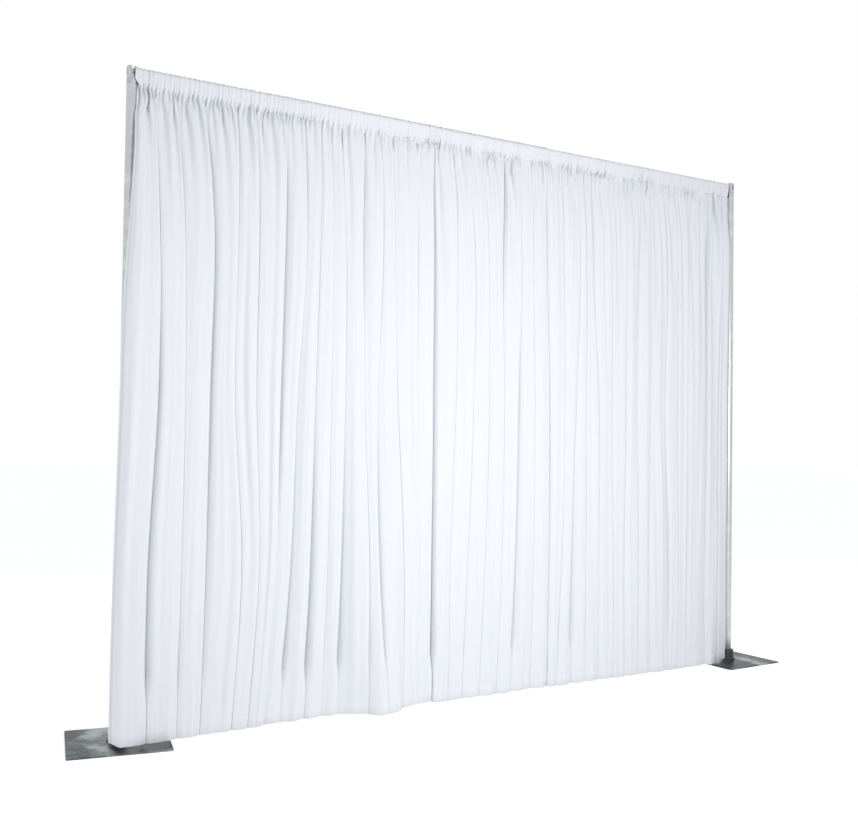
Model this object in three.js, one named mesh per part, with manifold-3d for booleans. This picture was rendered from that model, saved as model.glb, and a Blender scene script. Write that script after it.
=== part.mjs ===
// Pipe and drape backdrop: two slotted uprights on flat steel bases, a telescoping
// crossbar hooked into their crowns, and five gathered drape panels on the crossbar.
// Millimetres. X runs from the left upright to the right one, Y to the back, Z up.
// The origin is on the floor, halfway between the uprights.
import * as THREE from 'three';
import { mergeVertices } from 'three/addons/utils/BufferGeometryUtils.js';
import Module from 'manifold-3d';

const wasm = await Module();
wasm.setup();

// Bay
const BAY_WIDTH = 3048;               // between the axes of the two uprights
const UPRIGHT_HEIGHT = 2438;          // floor to the rim of a crown

// Fits
const SEAT_GAP = 0.3;                 // between faces that rest on each other
const RUNNING_GAP = 0.3;              // radial, between a shaft and its bore
const ROUND_SIDES = 24;               // flats round a turned piece
const CUT_OVERRUN = 2;                // how far a cutter passes the face it enters
const CORNER_STEPS = 3;               // steps round a softened corner
const CORNER_SIDES = 4;               // corners of a square plate
const MERGE_DISTANCE = 0.0005;        // corners nearer than this are one corner

// Base plate
const PLATE_SIDE = 355.6;
const PLATE_THICKNESS = 4.8;
const PLATE_CORNER_RADIUS = 6;
const LEFT_BASE_TURN = THREE.MathUtils.degToRad(-9.8);   // as they were set down
const RIGHT_BASE_TURN = THREE.MathUtils.degToRad(2.4);

// Collar that the upright's foot drops into
const HUB_DIAMETER = 64;
const HUB_HEIGHT = 50;
const HUB_FLOOR = 4;
const HUB_FLANGE_DIAMETER = 78;
const HUB_FLANGE_HEIGHT = 5;
const HUB_FILLET = 5;
const HUB_DRAFT = 2;                  // how much narrower the collar is at its rim
const HUB_LIP = 3;

// Drop-over pin, its threaded insert and the screw from below
const PIN_DIAMETER = 31.75;
const PIN_WALL = 3;
const PIN_LENGTH = 180;
const PIN_TAPER = 4;
const INSERT_LENGTH = 28;
const INSERT_CHAMFER = 2;
const SCREW_DIAMETER = 10;
const SCREW_LENGTH = 30;
const SCREW_HEAD_DIAMETER = 16;
const SCREW_HEAD_RIM = 0.5;
const SCREW_HEAD_RECESS = 0.5;        // head below the plate's underside
const SOCKET_ACROSS_FLATS = 6;
const SOCKET_DEPTH = 3;
const SOCKET_SIDES = 6;

// Upright tube and the ferrule on its foot
const TUBE_DIAMETER = 38.1;
const TUBE_WALL = 1.65;
const FERRULE_FLANGE = 2.5;
const FERRULE_SLEEVE = 24;
const FERRULE_WALL = 0.7;

// Slotted crown in the top of an upright
const CROWN_HEIGHT = 64;
const CROWN_RIM = 1.5;
const CROWN_SPIGOT = 42;
const CROWN_SPIGOT_CHAMFER = 2;
const CROWN_GROOVE = 1;               // shadow line above the joint with the tube
const CROWN_GROOVE_HEIGHT = 4;
const SLOT_PAIRS = 2;                 // each cut makes two opposite slots
const SLOT_WIDTH = 7;
const SLOT_DEPTH = 34;
const SLOT_FLARE = 2.5;
const WELL_DIAMETER = 27;
const WELL_DEPTH = 56;

// Crossbar tubes
const OUTER_DIAMETER = 31.75;
const OUTER_WALL = 1.5;
const OUTER_LENGTH = 1700;
const TUBE_OVERLAP = 240;             // length of inner tube inside the outer one at full width
const INNER_DIAMETER = 25.4;
const INNER_WALL = 1.5;
const BAR_SETBACK = 30;               // upright axis to the end of a bar tube
const BAR_DROP = 21;                  // crown rim down to the bar's axis
const BUSH_LENGTH = 40;
const BUSH_FLANGE = 3;
const GUIDE_HEAD = 20;
const GUIDE_SPIGOT = 26;
const GUIDE_CHAMFER = 2;

// Hooks, end plugs and the spring pins through them
const HOOK_THICKNESS = 6;
const HOOK_TOP_DROP = 6;              // crown rim down to the hook's back
const HOOK_CORNER = 3;
const TONGUE_DROP = 17;               // slot floor down to the tongue's tip
const TONGUE_WIDTH = 8.5;
const TANG_HEIGHT = 15;
const TANG_LENGTH = 46;
const PLUG_FLANGE = 3;
const PLUG_WEB = 8;                   // solid end of the plug, past the tang
const SPRING_PIN_DIAMETER = 4.8;
const SPRING_PIN_WALL = 1;
const SPRING_PIN_SLIT = THREE.MathUtils.degToRad(50);
const SPRING_PIN_SIDES = 8;
const SPRING_PIN_INSET = 0.7;         // pin end below the tube's surface
const SPRING_PIN_PLACES = [14, 34];   // from the end of the bar tube

// Drape panels
const FABRIC_THICKNESS = 2.2;
const MITRE_LIMIT = 3;                // greatest offset at a crease, in half thicknesses of the cloth
const PANEL_GAP = 3;
const EDGE_SETBACK = 28;              // upright axis to the side edge, from the pocket to the stitch line
const POCKET_HEIGHT = 70;             // top of the bar down to the stitch line
const POCKET_STEPS = 4;               // chords over the top of the bar
const HEM_CLEARANCE = 10;             // hem above the floor
const HEM_LIFT = 6;                   // how much more the hem rises behind than in front
const DROP_ROW_SHARES = [1, 0.75, 0.47, 0.2, 0.06, 0];   // rows of the hanging cloth, hem first
const FOLD_DEPTH_TOP = 8;             // from a fold's front to its crease at the stitch line
const FOLD_DEPTH_HEM = 62;
const FRONT_PLACE_SHARES = [0.36, 0.64];  // of a fold's width, the columns on its front
const SHOULDER_SHARE_TOP = 0.24;      // of a fold's width, from its crease to the edge of its front
const SHOULDER_SHARE_HEM = 0.15;
const SHOULDER_DEPTH_SHARE = 0.12;    // of the fold's depth, how far that edge lies back
const OUTER_EDGE_DEPTH_SHARE = 0.45;  // of the fold's depth, how far the drape's own side edges lie back
const HEM_FORWARD_LEFT = 80;          // mean distance of the hem in front of the bar
const HEM_FORWARD_RIGHT = 56;
const LEFT_HEM_OVERHANG = 50;         // left hem corner beyond the upright's axis
const LEFT_FLARE_START_SHARE = 0.12;  // of the drop, where the left edge starts to cross the upright
const LEFT_WRAP = 62;                 // how far that edge comes forward of the upright
const LEFT_WRAP_REACH = 240;
const LEFT_WRAP_END_SHARE = 0.35;     // of the drop, where the edge is fully forward
const RIGHT_HEM_SETBACK = 42;         // right hem corner, clear of the collar
const RIGHT_RETURN = 190;             // last stretch, which runs back to the right upright
const RIGHT_EDGE_FORWARD = 8;
const PUSHED_FOLD_PLACE_SHARE = 0.33; // of the bay, a group of folds that stands out
const PUSHED_FOLD_FORWARD = 78;
const PUSHED_FOLD_REACH = 110;

// Fold lines from the left end. Each has its places along the bay, as shares of its width, at the levels of
// the drop below, and then how deep it is as a share of the fold depth. A seam is where two panels meet.
const FOLD_LEVEL_SHARES = [0, 0.2, 0.47, 0.75, 1];
const SEAM_SHARES = [
  [0.201, 0.201, 0.196, 0.188, 0.172, 0.85],
  [0.423, 0.423, 0.421, 0.418, 0.416, 1.0],
  [0.617, 0.617, 0.619, 0.615, 0.609, 0.6],
  [0.804, 0.795, 0.790, 0.788, 0.784, 0.75],
];
const CREASE_SHARES = [
  [
    [0.032, 0.036, 0.040, 0.031, 0.028, 0.85],
    [0.059, 0.067, 0.069, 0.066, 0.062, 0.6],
    [0.094, 0.106, 0.103, 0.099, 0.091, 0.8],
    [0.135, 0.136, 0.133, 0.140, 0.129, 0.5],
    [0.165, 0.167, 0.165, 0.165, 0.152, 0.5],
  ],
  [
    [0.228, 0.230, 0.219, 0.211, 0.195, 0.85],
    [0.251, 0.248, 0.243, 0.238, 0.228, 0.8],
    [0.265, 0.266, 0.264, 0.260, 0.252, 0.45],
    [0.283, 0.286, 0.286, 0.282, 0.274, 0.8],
    [0.312, 0.312, 0.310, 0.310, 0.305, 0.7],
    [0.336, 0.337, 0.333, 0.336, 0.337, 0.75],
    [0.362, 0.364, 0.364, 0.367, 0.367, 0.5],
    [0.394, 0.394, 0.393, 0.394, 0.392, 0.5],
  ],
  [
    [0.451, 0.452, 0.451, 0.444, 0.439, 0.45],
    [0.477, 0.485, 0.482, 0.473, 0.462, 0.7],
    [0.507, 0.510, 0.510, 0.503, 0.492, 0.6],
    [0.537, 0.535, 0.534, 0.531, 0.520, 0.6],
    [0.566, 0.567, 0.564, 0.557, 0.548, 0.9],
    [0.591, 0.591, 0.591, 0.587, 0.579, 0.45],
  ],
  [
    [0.650, 0.649, 0.644, 0.638, 0.628, 0.7],
    [0.677, 0.677, 0.671, 0.663, 0.656, 0.75],
    [0.708, 0.709, 0.708, 0.702, 0.697, 0.6],
    [0.739, 0.738, 0.737, 0.733, 0.730, 0.5],
    [0.772, 0.768, 0.764, 0.759, 0.756, 0.6],
  ],
  [
    [0.828, 0.823, 0.817, 0.812, 0.808, 0.5],
    [0.853, 0.853, 0.847, 0.846, 0.841, 0.8],
    [0.876, 0.877, 0.873, 0.870, 0.865, 0.4],
    [0.902, 0.900, 0.897, 0.892, 0.887, 0.85],
    [0.936, 0.934, 0.932, 0.927, 0.921, 0.8],
    [0.966, 0.965, 0.962, 0.959, 0.954, 0.5],
  ],
];

// Finishes
const FINISHES = {
  plate: { color: 0x8b9496, roughness: 0.16, metalness: 1 },
  hub: { color: 0x2f363d, roughness: 0.45, metalness: 0 },
  tube: { color: 0xc3c9ce, roughness: 0.3, metalness: 1 },
  crown: { color: 0xb4bbc1, roughness: 0.35, metalness: 1 },
  zinc: { color: 0xa9adb0, roughness: 0.3, metalness: 1 },
  screw: { color: 0x5b6064, roughness: 0.35, metalness: 1 },
  nylon: { color: 0xe4e5e3, roughness: 0.5, metalness: 0 },
  plug: { color: 0x9aa0a5, roughness: 0.5, metalness: 0 },
  fabric: { color: 0xf2f3f7, roughness: 0.9, metalness: 0 },
};

// Heights in a stand, from the floor up
const hubBottom = PLATE_THICKNESS + SEAT_GAP;
const hubFloorTop = hubBottom + HUB_FLOOR;
const pinBottom = hubFloorTop + SEAT_GAP;
const tubeBottom = pinBottom + FERRULE_FLANGE + SEAT_GAP;
const crownShoulder = UPRIGHT_HEIGHT - CROWN_HEIGHT;
const tubeTop = crownShoulder - SEAT_GAP;
const slotFloor = UPRIGHT_HEIGHT - SLOT_DEPTH;
const barAxis = UPRIGHT_HEIGHT - BAR_DROP;

// Radii
const tubeRadius = TUBE_DIAMETER / 2;
const tubeBore = tubeRadius - TUBE_WALL;
const pinRadius = PIN_DIAMETER / 2;
const pinBore = pinRadius - PIN_WALL;
const screwRadius = SCREW_DIAMETER / 2;
const outerRadius = OUTER_DIAMETER / 2;
const outerBore = outerRadius - OUTER_WALL;
const innerRadius = INNER_DIAMETER / 2;
const innerBore = innerRadius - INNER_WALL;
const wellRadius = WELL_DIAMETER / 2;

// The bar between its tube ends
const barHalf = BAY_WIDTH / 2 - BAR_SETBACK;
const outerMouth = OUTER_LENGTH - barHalf;
const innerEnd = outerMouth - TUBE_OVERLAP;

// A bore drawn with flats has to clear the corners of its shaft at any turn.
const boreAround = (radius, gap = RUNNING_GAP) => (radius + gap) / Math.cos(Math.PI / ROUND_SIDES);

// A shaft drawn with flats that seats in a bore drawn with flats.
const shaftInside = (radius, gap = SEAT_GAP) => radius * Math.cos(Math.PI / ROUND_SIDES) - gap;

const smooth = (share) => THREE.MathUtils.smoothstep(share, 0, 1);
const swell = (distance, reach) => Math.exp(-((distance / reach) ** 2));

// Merges the corners of a closed shape, drops the triangles that vanish, and turns it to face out.
function sealed(geometry) {
  const bare = geometry.clone();
  bare.deleteAttribute('normal');
  bare.deleteAttribute('uv');
  const merged = mergeVertices(bare, MERGE_DISTANCE);
  const places = merged.getAttribute('position');
  const corner = (index) => new THREE.Vector3().fromBufferAttribute(places, index);
  const kept = [];
  let volume = 0;
  for (let i = 0; i < merged.index.count; i += 3) {
    const [a, b, c] = [0, 1, 2].map((step) => merged.index.getX(i + step));
    if (a === b || b === c || c === a) continue;
    volume += corner(a).dot(corner(b).cross(corner(c)));
    kept.push([a, b, c]);
  }
  if (volume < 0) kept.forEach((face) => face.reverse());
  merged.setIndex(kept.flat());
  return merged;
}

function solidOf(geometry) {
  const shape = sealed(geometry);
  return new wasm.Manifold(new wasm.Mesh({
    numProp: 3,
    vertProperties: new Float32Array(shape.getAttribute('position').array),
    triVerts: new Uint32Array(shape.index.array),
  }));
}

function cut(geometry, ...cutters) {
  const remaining = cutters.reduce((solid, cutter) => solid.subtract(solidOf(cutter)), solidOf(geometry));
  const { vertProperties, triVerts } = remaining.getMesh();
  const result = new THREE.BufferGeometry();
  result.setAttribute('position', new THREE.BufferAttribute(vertProperties, 3));
  result.setIndex(new THREE.BufferAttribute(triVerts, 1));
  return result;
}

// A [radius, height] profile spun about Z. It starts and ends on the axis or closes on itself.
function turned(profile, sides = ROUND_SIDES) {
  const points = profile.map(([radius, height]) => new THREE.Vector2(radius, height));
  return sealed(new THREE.LatheGeometry(points, sides).rotateX(Math.PI / 2));
}

const ring = (profile) => turned([...profile, profile[0]]);

const rod = (radius, bottom, top, sides = ROUND_SIDES) =>
  turned([[0, bottom], [radius, bottom], [radius, top], [0, top]], sides);

const alongBar = (geometry) => geometry.rotateY(Math.PI / 2);
const acrossBar = (geometry) => geometry.rotateX(Math.PI / 2);

// An outline whose corners are [x, y, radius].
function softOutline(corners) {
  const shape = new THREE.Shape();
  const count = corners.length;
  corners.forEach(([x, y, radius], i) => {
    const place = new THREE.Vector2(x, y);
    const [before, after] = [i + count - 1, i + 1].map((j) => {
      const other = new THREE.Vector2(corners[j % count][0], corners[j % count][1]);
      return other.sub(place).setLength(radius).add(place);
    });
    if (i === 0) shape.moveTo(before.x, before.y);
    else shape.lineTo(before.x, before.y);
    if (radius > 0) shape.quadraticCurveTo(x, y, after.x, after.y);
  });
  shape.closePath();
  return shape;
}

const extruded = (shape, depth) =>
  sealed(new THREE.ExtrudeGeometry(shape, { depth, bevelEnabled: false, curveSegments: CORNER_STEPS }));

function countersink(bottom) {
  const bore = boreAround(screwRadius);
  const headRadius = SCREW_HEAD_DIAMETER / 2 + SEAT_GAP;
  const rimTop = bottom + SCREW_HEAD_RECESS + SCREW_HEAD_RIM;
  return turned([
    [0, bottom - CUT_OVERRUN],
    [headRadius, bottom - CUT_OVERRUN],
    [headRadius, rimTop],
    [bore, rimTop + headRadius - bore],
    [bore, bottom + PLATE_THICKNESS + CUT_OVERRUN],
    [0, bottom + PLATE_THICKNESS + CUT_OVERRUN],
  ]);
}

function basePlate() {
  const half = PLATE_SIDE / 2;
  const corners = Array.from({ length: CORNER_SIDES }, (_, i) => {
    const angle = (i + 0.5) * (2 * Math.PI / CORNER_SIDES);
    return [half * Math.SQRT2 * Math.cos(angle), half * Math.SQRT2 * Math.sin(angle), PLATE_CORNER_RADIUS];
  });
  return cut(extruded(softOutline(corners), PLATE_THICKNESS), countersink(0));
}

// The collar stands on the plate, and its floor is clamped under the pin.
function baseHub() {
  const flange = HUB_FLANGE_DIAMETER / 2;
  const body = HUB_DIAMETER / 2;
  const rim = body - HUB_DRAFT;
  const bore = boreAround(tubeRadius);
  const top = hubBottom + HUB_HEIGHT;
  const flangeTop = hubBottom + HUB_FLANGE_HEIGHT;
  const lipHalf = HUB_LIP / 2;
  const filletMiddle = HUB_FILLET * (1 - Math.SQRT1_2);
  return ring([
    [boreAround(screwRadius), hubBottom],
    [flange, hubBottom],
    [flange, flangeTop - lipHalf],
    [flange - lipHalf, flangeTop],
    [body + HUB_FILLET, flangeTop],
    [body + filletMiddle, flangeTop + filletMiddle],
    [body, flangeTop + HUB_FILLET],
    [rim, top - HUB_LIP],
    [rim - lipHalf / 2, top - lipHalf / 2],
    [rim - lipHalf, top],
    [bore + lipHalf, top],
    [bore, top - lipHalf],
    [bore, hubFloorTop],
    [boreAround(screwRadius), hubFloorTop],
  ]);
}

function basePin() {
  const top = pinBottom + PIN_LENGTH;
  return ring([
    [pinBore, pinBottom],
    [pinRadius, pinBottom],
    [pinRadius, top - PIN_TAPER],
    [pinRadius - PIN_TAPER / 2, top],
    [pinBore, top],
  ]);
}

// Threaded insert fixed in the foot of the pin.
function pinInsert() {
  const radius = shaftInside(pinBore);
  const top = pinBottom + INSERT_LENGTH;
  const bore = boreAround(screwRadius);
  return ring([
    [bore, pinBottom],
    [radius, pinBottom],
    [radius, top - INSERT_CHAMFER],
    [radius - INSERT_CHAMFER, top],
    [bore, top],
  ]);
}

function pinScrew() {
  const headRadius = SCREW_HEAD_DIAMETER / 2;
  const rimTop = SCREW_HEAD_RECESS + SCREW_HEAD_RIM;
  const body = turned([
    [0, SCREW_HEAD_RECESS],
    [headRadius, SCREW_HEAD_RECESS],
    [headRadius, rimTop],
    [screwRadius, rimTop + headRadius - screwRadius],
    [screwRadius, SCREW_LENGTH],
    [0, SCREW_LENGTH],
  ]);
  const socketRadius = SOCKET_ACROSS_FLATS / 2 / Math.cos(Math.PI / SOCKET_SIDES);
  const socketTop = SCREW_HEAD_RECESS + SOCKET_DEPTH;
  return cut(body, rod(socketRadius, SCREW_HEAD_RECESS - CUT_OVERRUN, socketTop, SOCKET_SIDES));
}

function uprightTube() {
  return ring([[tubeBore, tubeBottom], [tubeRadius, tubeBottom], [tubeRadius, tubeTop], [tubeBore, tubeTop]]);
}

// Nylon ferrule: a flange under the tube's foot and a sleeve that runs on the pin.
function footFerrule() {
  const bore = boreAround(pinRadius);
  const sleeve = Math.min(bore + FERRULE_WALL, shaftInside(tubeBore));
  const flangeTop = pinBottom + FERRULE_FLANGE;
  return ring([
    [bore, pinBottom],
    [tubeRadius, pinBottom],
    [tubeRadius, flangeTop],
    [sleeve, flangeTop],
    [sleeve, flangeTop + FERRULE_SLEEVE],
    [bore, flangeTop + FERRULE_SLEEVE],
  ]);
}

// Slot pair through the whole crown, flared where the hook drops in.
function slotCutter(turn) {
  const half = SLOT_WIDTH / 2;
  const flareBottom = UPRIGHT_HEIGHT - SLOT_FLARE;
  const top = UPRIGHT_HEIGHT + CUT_OVERRUN;
  const reach = tubeRadius + CUT_OVERRUN;
  const outline = softOutline([
    [-half, slotFloor, 0],
    [half, slotFloor, 0],
    [half, flareBottom, 0],
    [half + SLOT_FLARE + CUT_OVERRUN, top, 0],
    [-half - SLOT_FLARE - CUT_OVERRUN, top, 0],
    [-half, flareBottom, 0],
  ]);
  const cutter = extruded(outline, 2 * reach).translate(0, 0, -reach);
  return cutter.rotateX(Math.PI / 2).rotateZ(turn);
}

function uprightCrown() {
  const spigot = shaftInside(tubeBore);
  const spigotBottom = crownShoulder - CROWN_SPIGOT;
  const grooveTop = crownShoulder + CROWN_GROOVE_HEIGHT;
  const wellFloor = UPRIGHT_HEIGHT - WELL_DEPTH;
  const body = turned([
    [0, spigotBottom],
    [spigot - CROWN_SPIGOT_CHAMFER, spigotBottom],
    [spigot, spigotBottom + CROWN_SPIGOT_CHAMFER],
    [spigot, crownShoulder],
    [tubeRadius, crownShoulder],
    [tubeRadius, grooveTop - CROWN_GROOVE],
    [tubeRadius - CROWN_GROOVE, grooveTop],
    [tubeRadius, grooveTop + CROWN_GROOVE],
    [tubeRadius, UPRIGHT_HEIGHT - CROWN_RIM],
    [tubeRadius - CROWN_RIM, UPRIGHT_HEIGHT],
    [wellRadius + CROWN_RIM, UPRIGHT_HEIGHT],
    [wellRadius, UPRIGHT_HEIGHT - CROWN_RIM],
    [wellRadius, wellFloor],
    [0, wellFloor],
  ]);
  const cutters = Array.from({ length: SLOT_PAIRS }, (_, i) => slotCutter(i * Math.PI / SLOT_PAIRS));
  return cut(body, ...cutters);
}

// Cross holes for the spring pins, measured from the tube's end face along +X.
function pinHoles(radius) {
  const reach = radius + CUT_OVERRUN;
  const holeRadius = (SPRING_PIN_DIAMETER / 2 + SEAT_GAP) / Math.cos(Math.PI / SPRING_PIN_SIDES);
  return SPRING_PIN_PLACES.map((place) =>
    acrossBar(rod(holeRadius, -reach, reach, SPRING_PIN_SIDES)).translate(place, 0, 0));
}

// A bar tube from its drilled end at X = 0 to its open end.
function barTube(radius, bore, length) {
  const tube = alongBar(ring([[bore, 0], [radius, 0], [radius, length], [bore, length]]));
  return cut(tube, ...pinHoles(radius));
}

// Spring steel pin, rolled with an open slit.
function springPin(radius) {
  const outside = SPRING_PIN_DIAMETER / 2;
  const half = shaftInside(radius) - SPRING_PIN_INSET;
  const shape = new THREE.Shape();
  const start = SPRING_PIN_SLIT / 2;
  shape.absarc(0, 0, outside, start, 2 * Math.PI - start, false);
  shape.absarc(0, 0, outside - SPRING_PIN_WALL, 2 * Math.PI - start, start, true);
  const pin = new THREE.ExtrudeGeometry(shape, {
    depth: 2 * half, bevelEnabled: false, curveSegments: SPRING_PIN_SIDES,
  });
  return acrossBar(sealed(pin).translate(0, 0, -half));
}

// Flat hook: a tongue down the crown's well, a neck through the slot and a tang into the bar.
// X = 0 is the upright's axis and Z = 0 the bar's.
function hook() {
  const neckBottom = slotFloor + SEAT_GAP - barAxis;
  const back = UPRIGHT_HEIGHT - HOOK_TOP_DROP - barAxis;
  const tip = slotFloor - TONGUE_DROP - barAxis;
  const tongueOuter = shaftInside(wellRadius, 2 * SEAT_GAP) * Math.cos(Math.asin(HOOK_THICKNESS / WELL_DIAMETER));
  const tongueInner = tongueOuter - TONGUE_WIDTH;
  const shoulder = BAR_SETBACK - PLUG_FLANGE - 2 * SEAT_GAP;
  const tang = TANG_HEIGHT / 2;
  const end = BAR_SETBACK + TANG_LENGTH;
  const outline = softOutline([
    [tongueInner, tip, HOOK_CORNER],
    [tongueOuter, tip, HOOK_CORNER / 2],
    [tongueOuter, neckBottom, HOOK_CORNER / 2],
    [shoulder, neckBottom, HOOK_CORNER],
    [shoulder, -tang, 0],
    [end, -tang, HOOK_CORNER / 2],
    [end, tang, HOOK_CORNER / 2],
    [shoulder, tang, 0],
    [shoulder, back, HOOK_CORNER],
    [tongueInner, back, 2 * HOOK_CORNER],
  ]);
  const plate = extruded(outline, HOOK_THICKNESS).translate(0, 0, -HOOK_THICKNESS / 2);
  const holes = pinHoles(HOOK_THICKNESS).map((hole) => hole.translate(BAR_SETBACK, 0, 0));
  return cut(acrossBar(plate), ...holes);
}

// End plug: a flanged plug in the bar tube, slotted for the hook's tang. X = 0 is the tube's end.
function endPlug(radius, bore) {
  const length = TANG_LENGTH + PLUG_WEB;
  const body = alongBar(turned([
    [0, -PLUG_FLANGE - SEAT_GAP],
    [radius - PLUG_FLANGE / 2, -PLUG_FLANGE - SEAT_GAP],
    [radius, -PLUG_FLANGE / 2],
    [radius, -SEAT_GAP],
    [shaftInside(bore), -SEAT_GAP],
    [shaftInside(bore), length],
    [0, length],
  ]));
  const slotHeight = TANG_HEIGHT + 2 * SEAT_GAP;
  const slotLength = TANG_LENGTH + SEAT_GAP + PLUG_FLANGE + CUT_OVERRUN;
  const slot = new THREE.BoxGeometry(slotLength, HOOK_THICKNESS + 2 * SEAT_GAP, slotHeight)
    .translate(TANG_LENGTH + SEAT_GAP - slotLength / 2, 0, 0);
  return cut(body, slot, ...pinHoles(radius));
}

// Nylon bush in the mouth of the outer tube. X = 0 is the mouth.
function mouthBush() {
  const bore = boreAround(innerRadius);
  return alongBar(ring([
    [bore, -BUSH_LENGTH],
    [shaftInside(outerBore), -BUSH_LENGTH],
    [shaftInside(outerBore), SEAT_GAP],
    [outerRadius, SEAT_GAP],
    [outerRadius, BUSH_FLANGE / 2],
    [outerRadius - BUSH_FLANGE / 2, SEAT_GAP + BUSH_FLANGE],
    [bore, SEAT_GAP + BUSH_FLANGE],
  ]));
}

// Guide on the hidden end of the inner tube, which slides in the outer tube. X = 0 is the tube's end.
function guidePlug() {
  const head = shaftInside(outerBore, RUNNING_GAP);
  const spigot = shaftInside(innerBore);
  return alongBar(turned([
    [0, -GUIDE_HEAD - SEAT_GAP],
    [head - GUIDE_CHAMFER, -GUIDE_HEAD - SEAT_GAP],
    [head, GUIDE_CHAMFER - GUIDE_HEAD - SEAT_GAP],
    [head, -SEAT_GAP],
    [spigot, -SEAT_GAP],
    [spigot, GUIDE_SPIGOT - GUIDE_CHAMFER],
    [spigot - GUIDE_CHAMFER, GUIDE_SPIGOT],
    [0, GUIDE_SPIGOT],
  ]));
}

const hangLine = outerRadius + barAxis - POCKET_HEIGHT;
const leftAxis = -BAY_WIDTH / 2;
const rightAxis = BAY_WIDTH / 2;

// Side edges of the whole hung width at a share of the drop.
function leftEdgeAt(drop) {
  const crossed = smooth((drop - LEFT_FLARE_START_SHARE) / (1 - LEFT_FLARE_START_SHARE));
  return leftAxis + THREE.MathUtils.lerp(EDGE_SETBACK, -LEFT_HEM_OVERHANG, crossed);
}

const rightEdgeAt = (drop) => rightAxis - THREE.MathUtils.lerp(EDGE_SETBACK, RIGHT_HEM_SETBACK, drop);

// How far along the last stretch, which returns to the right upright, a place lies.
const returningAt = (x) => smooth((x - rightAxis + EDGE_SETBACK + RIGHT_RETURN) / RIGHT_RETURN);

// Mean distance of the cloth in front of the bar, at a place along the bay and a share of the drop.
function forwardAt(x, drop) {
  const level = THREE.MathUtils.lerp(HEM_FORWARD_LEFT, HEM_FORWARD_RIGHT, (x - leftAxis) / BAY_WIDTH) * drop;
  const pushed = PUSHED_FOLD_FORWARD * swell(x - (PUSHED_FOLD_PLACE_SHARE - 0.5) * BAY_WIDTH, PUSHED_FOLD_REACH);
  const wrapped = LEFT_WRAP * smooth(drop / LEFT_WRAP_END_SHARE) * swell(x - leftEdgeAt(drop), LEFT_WRAP_REACH);
  return THREE.MathUtils.lerp(level + pushed * drop ** 3 + wrapped, RIGHT_EDGE_FORWARD * drop, returningAt(x));
}

// Depth of the folds, from their fronts to a full crease.
function foldDepthAt(x, drop) {
  const depth = THREE.MathUtils.lerp(FOLD_DEPTH_TOP, FOLD_DEPTH_HEM, Math.sqrt(drop));
  return THREE.MathUtils.lerp(depth, FOLD_DEPTH_TOP, returningAt(x) * drop);
}

// X of a fold line at a share of the drop, between the levels it is given at.
function placeAt(shares, drop) {
  const above = Math.max(FOLD_LEVEL_SHARES.findLastIndex((level) => level <= drop), 0);
  const below = Math.min(above + 1, FOLD_LEVEL_SHARES.length - 1);
  const reach = FOLD_LEVEL_SHARES[below] - FOLD_LEVEL_SHARES[above] || 1;
  const share = THREE.MathUtils.lerp(shares[above], shares[below], (drop - FOLD_LEVEL_SHARES[above]) / reach);
  return THREE.MathUtils.lerp(leftAxis, rightAxis, share);
}

// A fold line with an offset along the bay: its place at a share of the drop, and its depth share.
const foldLine = (shares, offset = 0) => ({
  at: (drop) => placeAt(shares, drop) + offset,
  depth: shares[FOLD_LEVEL_SHARES.length],
});

// The columns of one fold, from one crease to the next: shares of the fold's width, and how far back each
// lies as a share of the crease's depth. The gaps close as the folds deepen.
function foldColumns(drop) {
  const shoulder = THREE.MathUtils.lerp(SHOULDER_SHARE_TOP, SHOULDER_SHARE_HEM, Math.sqrt(drop));
  return [
    { share: 0, back: 1 },
    { share: shoulder, back: SHOULDER_DEPTH_SHARE },
    ...FRONT_PLACE_SHARES.map((share) => ({ share, back: 0 })),
    { share: 1 - shoulder, back: SHOULDER_DEPTH_SHARE },
  ];
}

const COLUMNS_PER_FOLD = foldColumns(0).length;

// A point of the cloth's middle surface, at a column of the panel and a share of the drop.
function clothPoint(panel, column, drop) {
  const last = column === panel.columns;
  const fold = Math.floor(column / COLUMNS_PER_FOLD) - (last ? 1 : 0);
  const { share, back } = last ? { share: 1, back: 1 } : foldColumns(drop)[column % COLUMNS_PER_FOLD];
  const [before, after] = [panel.lines[fold], panel.lines[fold + 1]];
  const x = THREE.MathUtils.lerp(before.at(drop), after.at(drop), share);
  const rearward = back * (share < 0.5 ? before : after).depth - 0.5;
  const hem = HEM_CLEARANCE + HEM_LIFT * (0.5 + rearward);
  const y = foldDepthAt(x, drop) * rearward - forwardAt(x, drop);
  return new THREE.Vector3(x, y, THREE.MathUtils.lerp(hangLine, hem, drop));
}

// Front and back points of the cloth, half its thickness either side of the middle surface and mitred
// at the creases.
function clothFaces(panel, column, drop) {
  const middle = clothPoint(panel, column, drop);
  const backward = (from, to) => new THREE.Vector3(from.y - to.y, to.x - from.x, 0).normalize();
  const before = clothPoint(panel, Math.max(column - 1, 0), drop);
  const after = clothPoint(panel, Math.min(column + 1, panel.columns), drop);
  const sides = [
    ...(column > 0 ? [backward(before, middle)] : []),
    ...(column < panel.columns ? [backward(middle, after)] : []),
  ];
  const toBack = sides.reduce((sum, side) => sum.add(side), new THREE.Vector3()).normalize();
  const mitre = 1 / Math.max(toBack.dot(sides[0]), 1 / MITRE_LIMIT);
  toBack.multiplyScalar((mitre * FABRIC_THICKNESS) / 2);
  return { front: middle.clone().sub(toBack), back: middle.clone().add(toBack) };
}

// Points over the top of the bar, from its front to its back, in the plane of one column.
function pocketArc(x, radius) {
  return Array.from({ length: POCKET_STEPS + 1 }, (_, i) => {
    const angle = Math.PI * (1 - i / POCKET_STEPS);
    return new THREE.Vector3(x, radius * Math.cos(angle), barAxis + radius * Math.sin(angle));
  });
}

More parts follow.
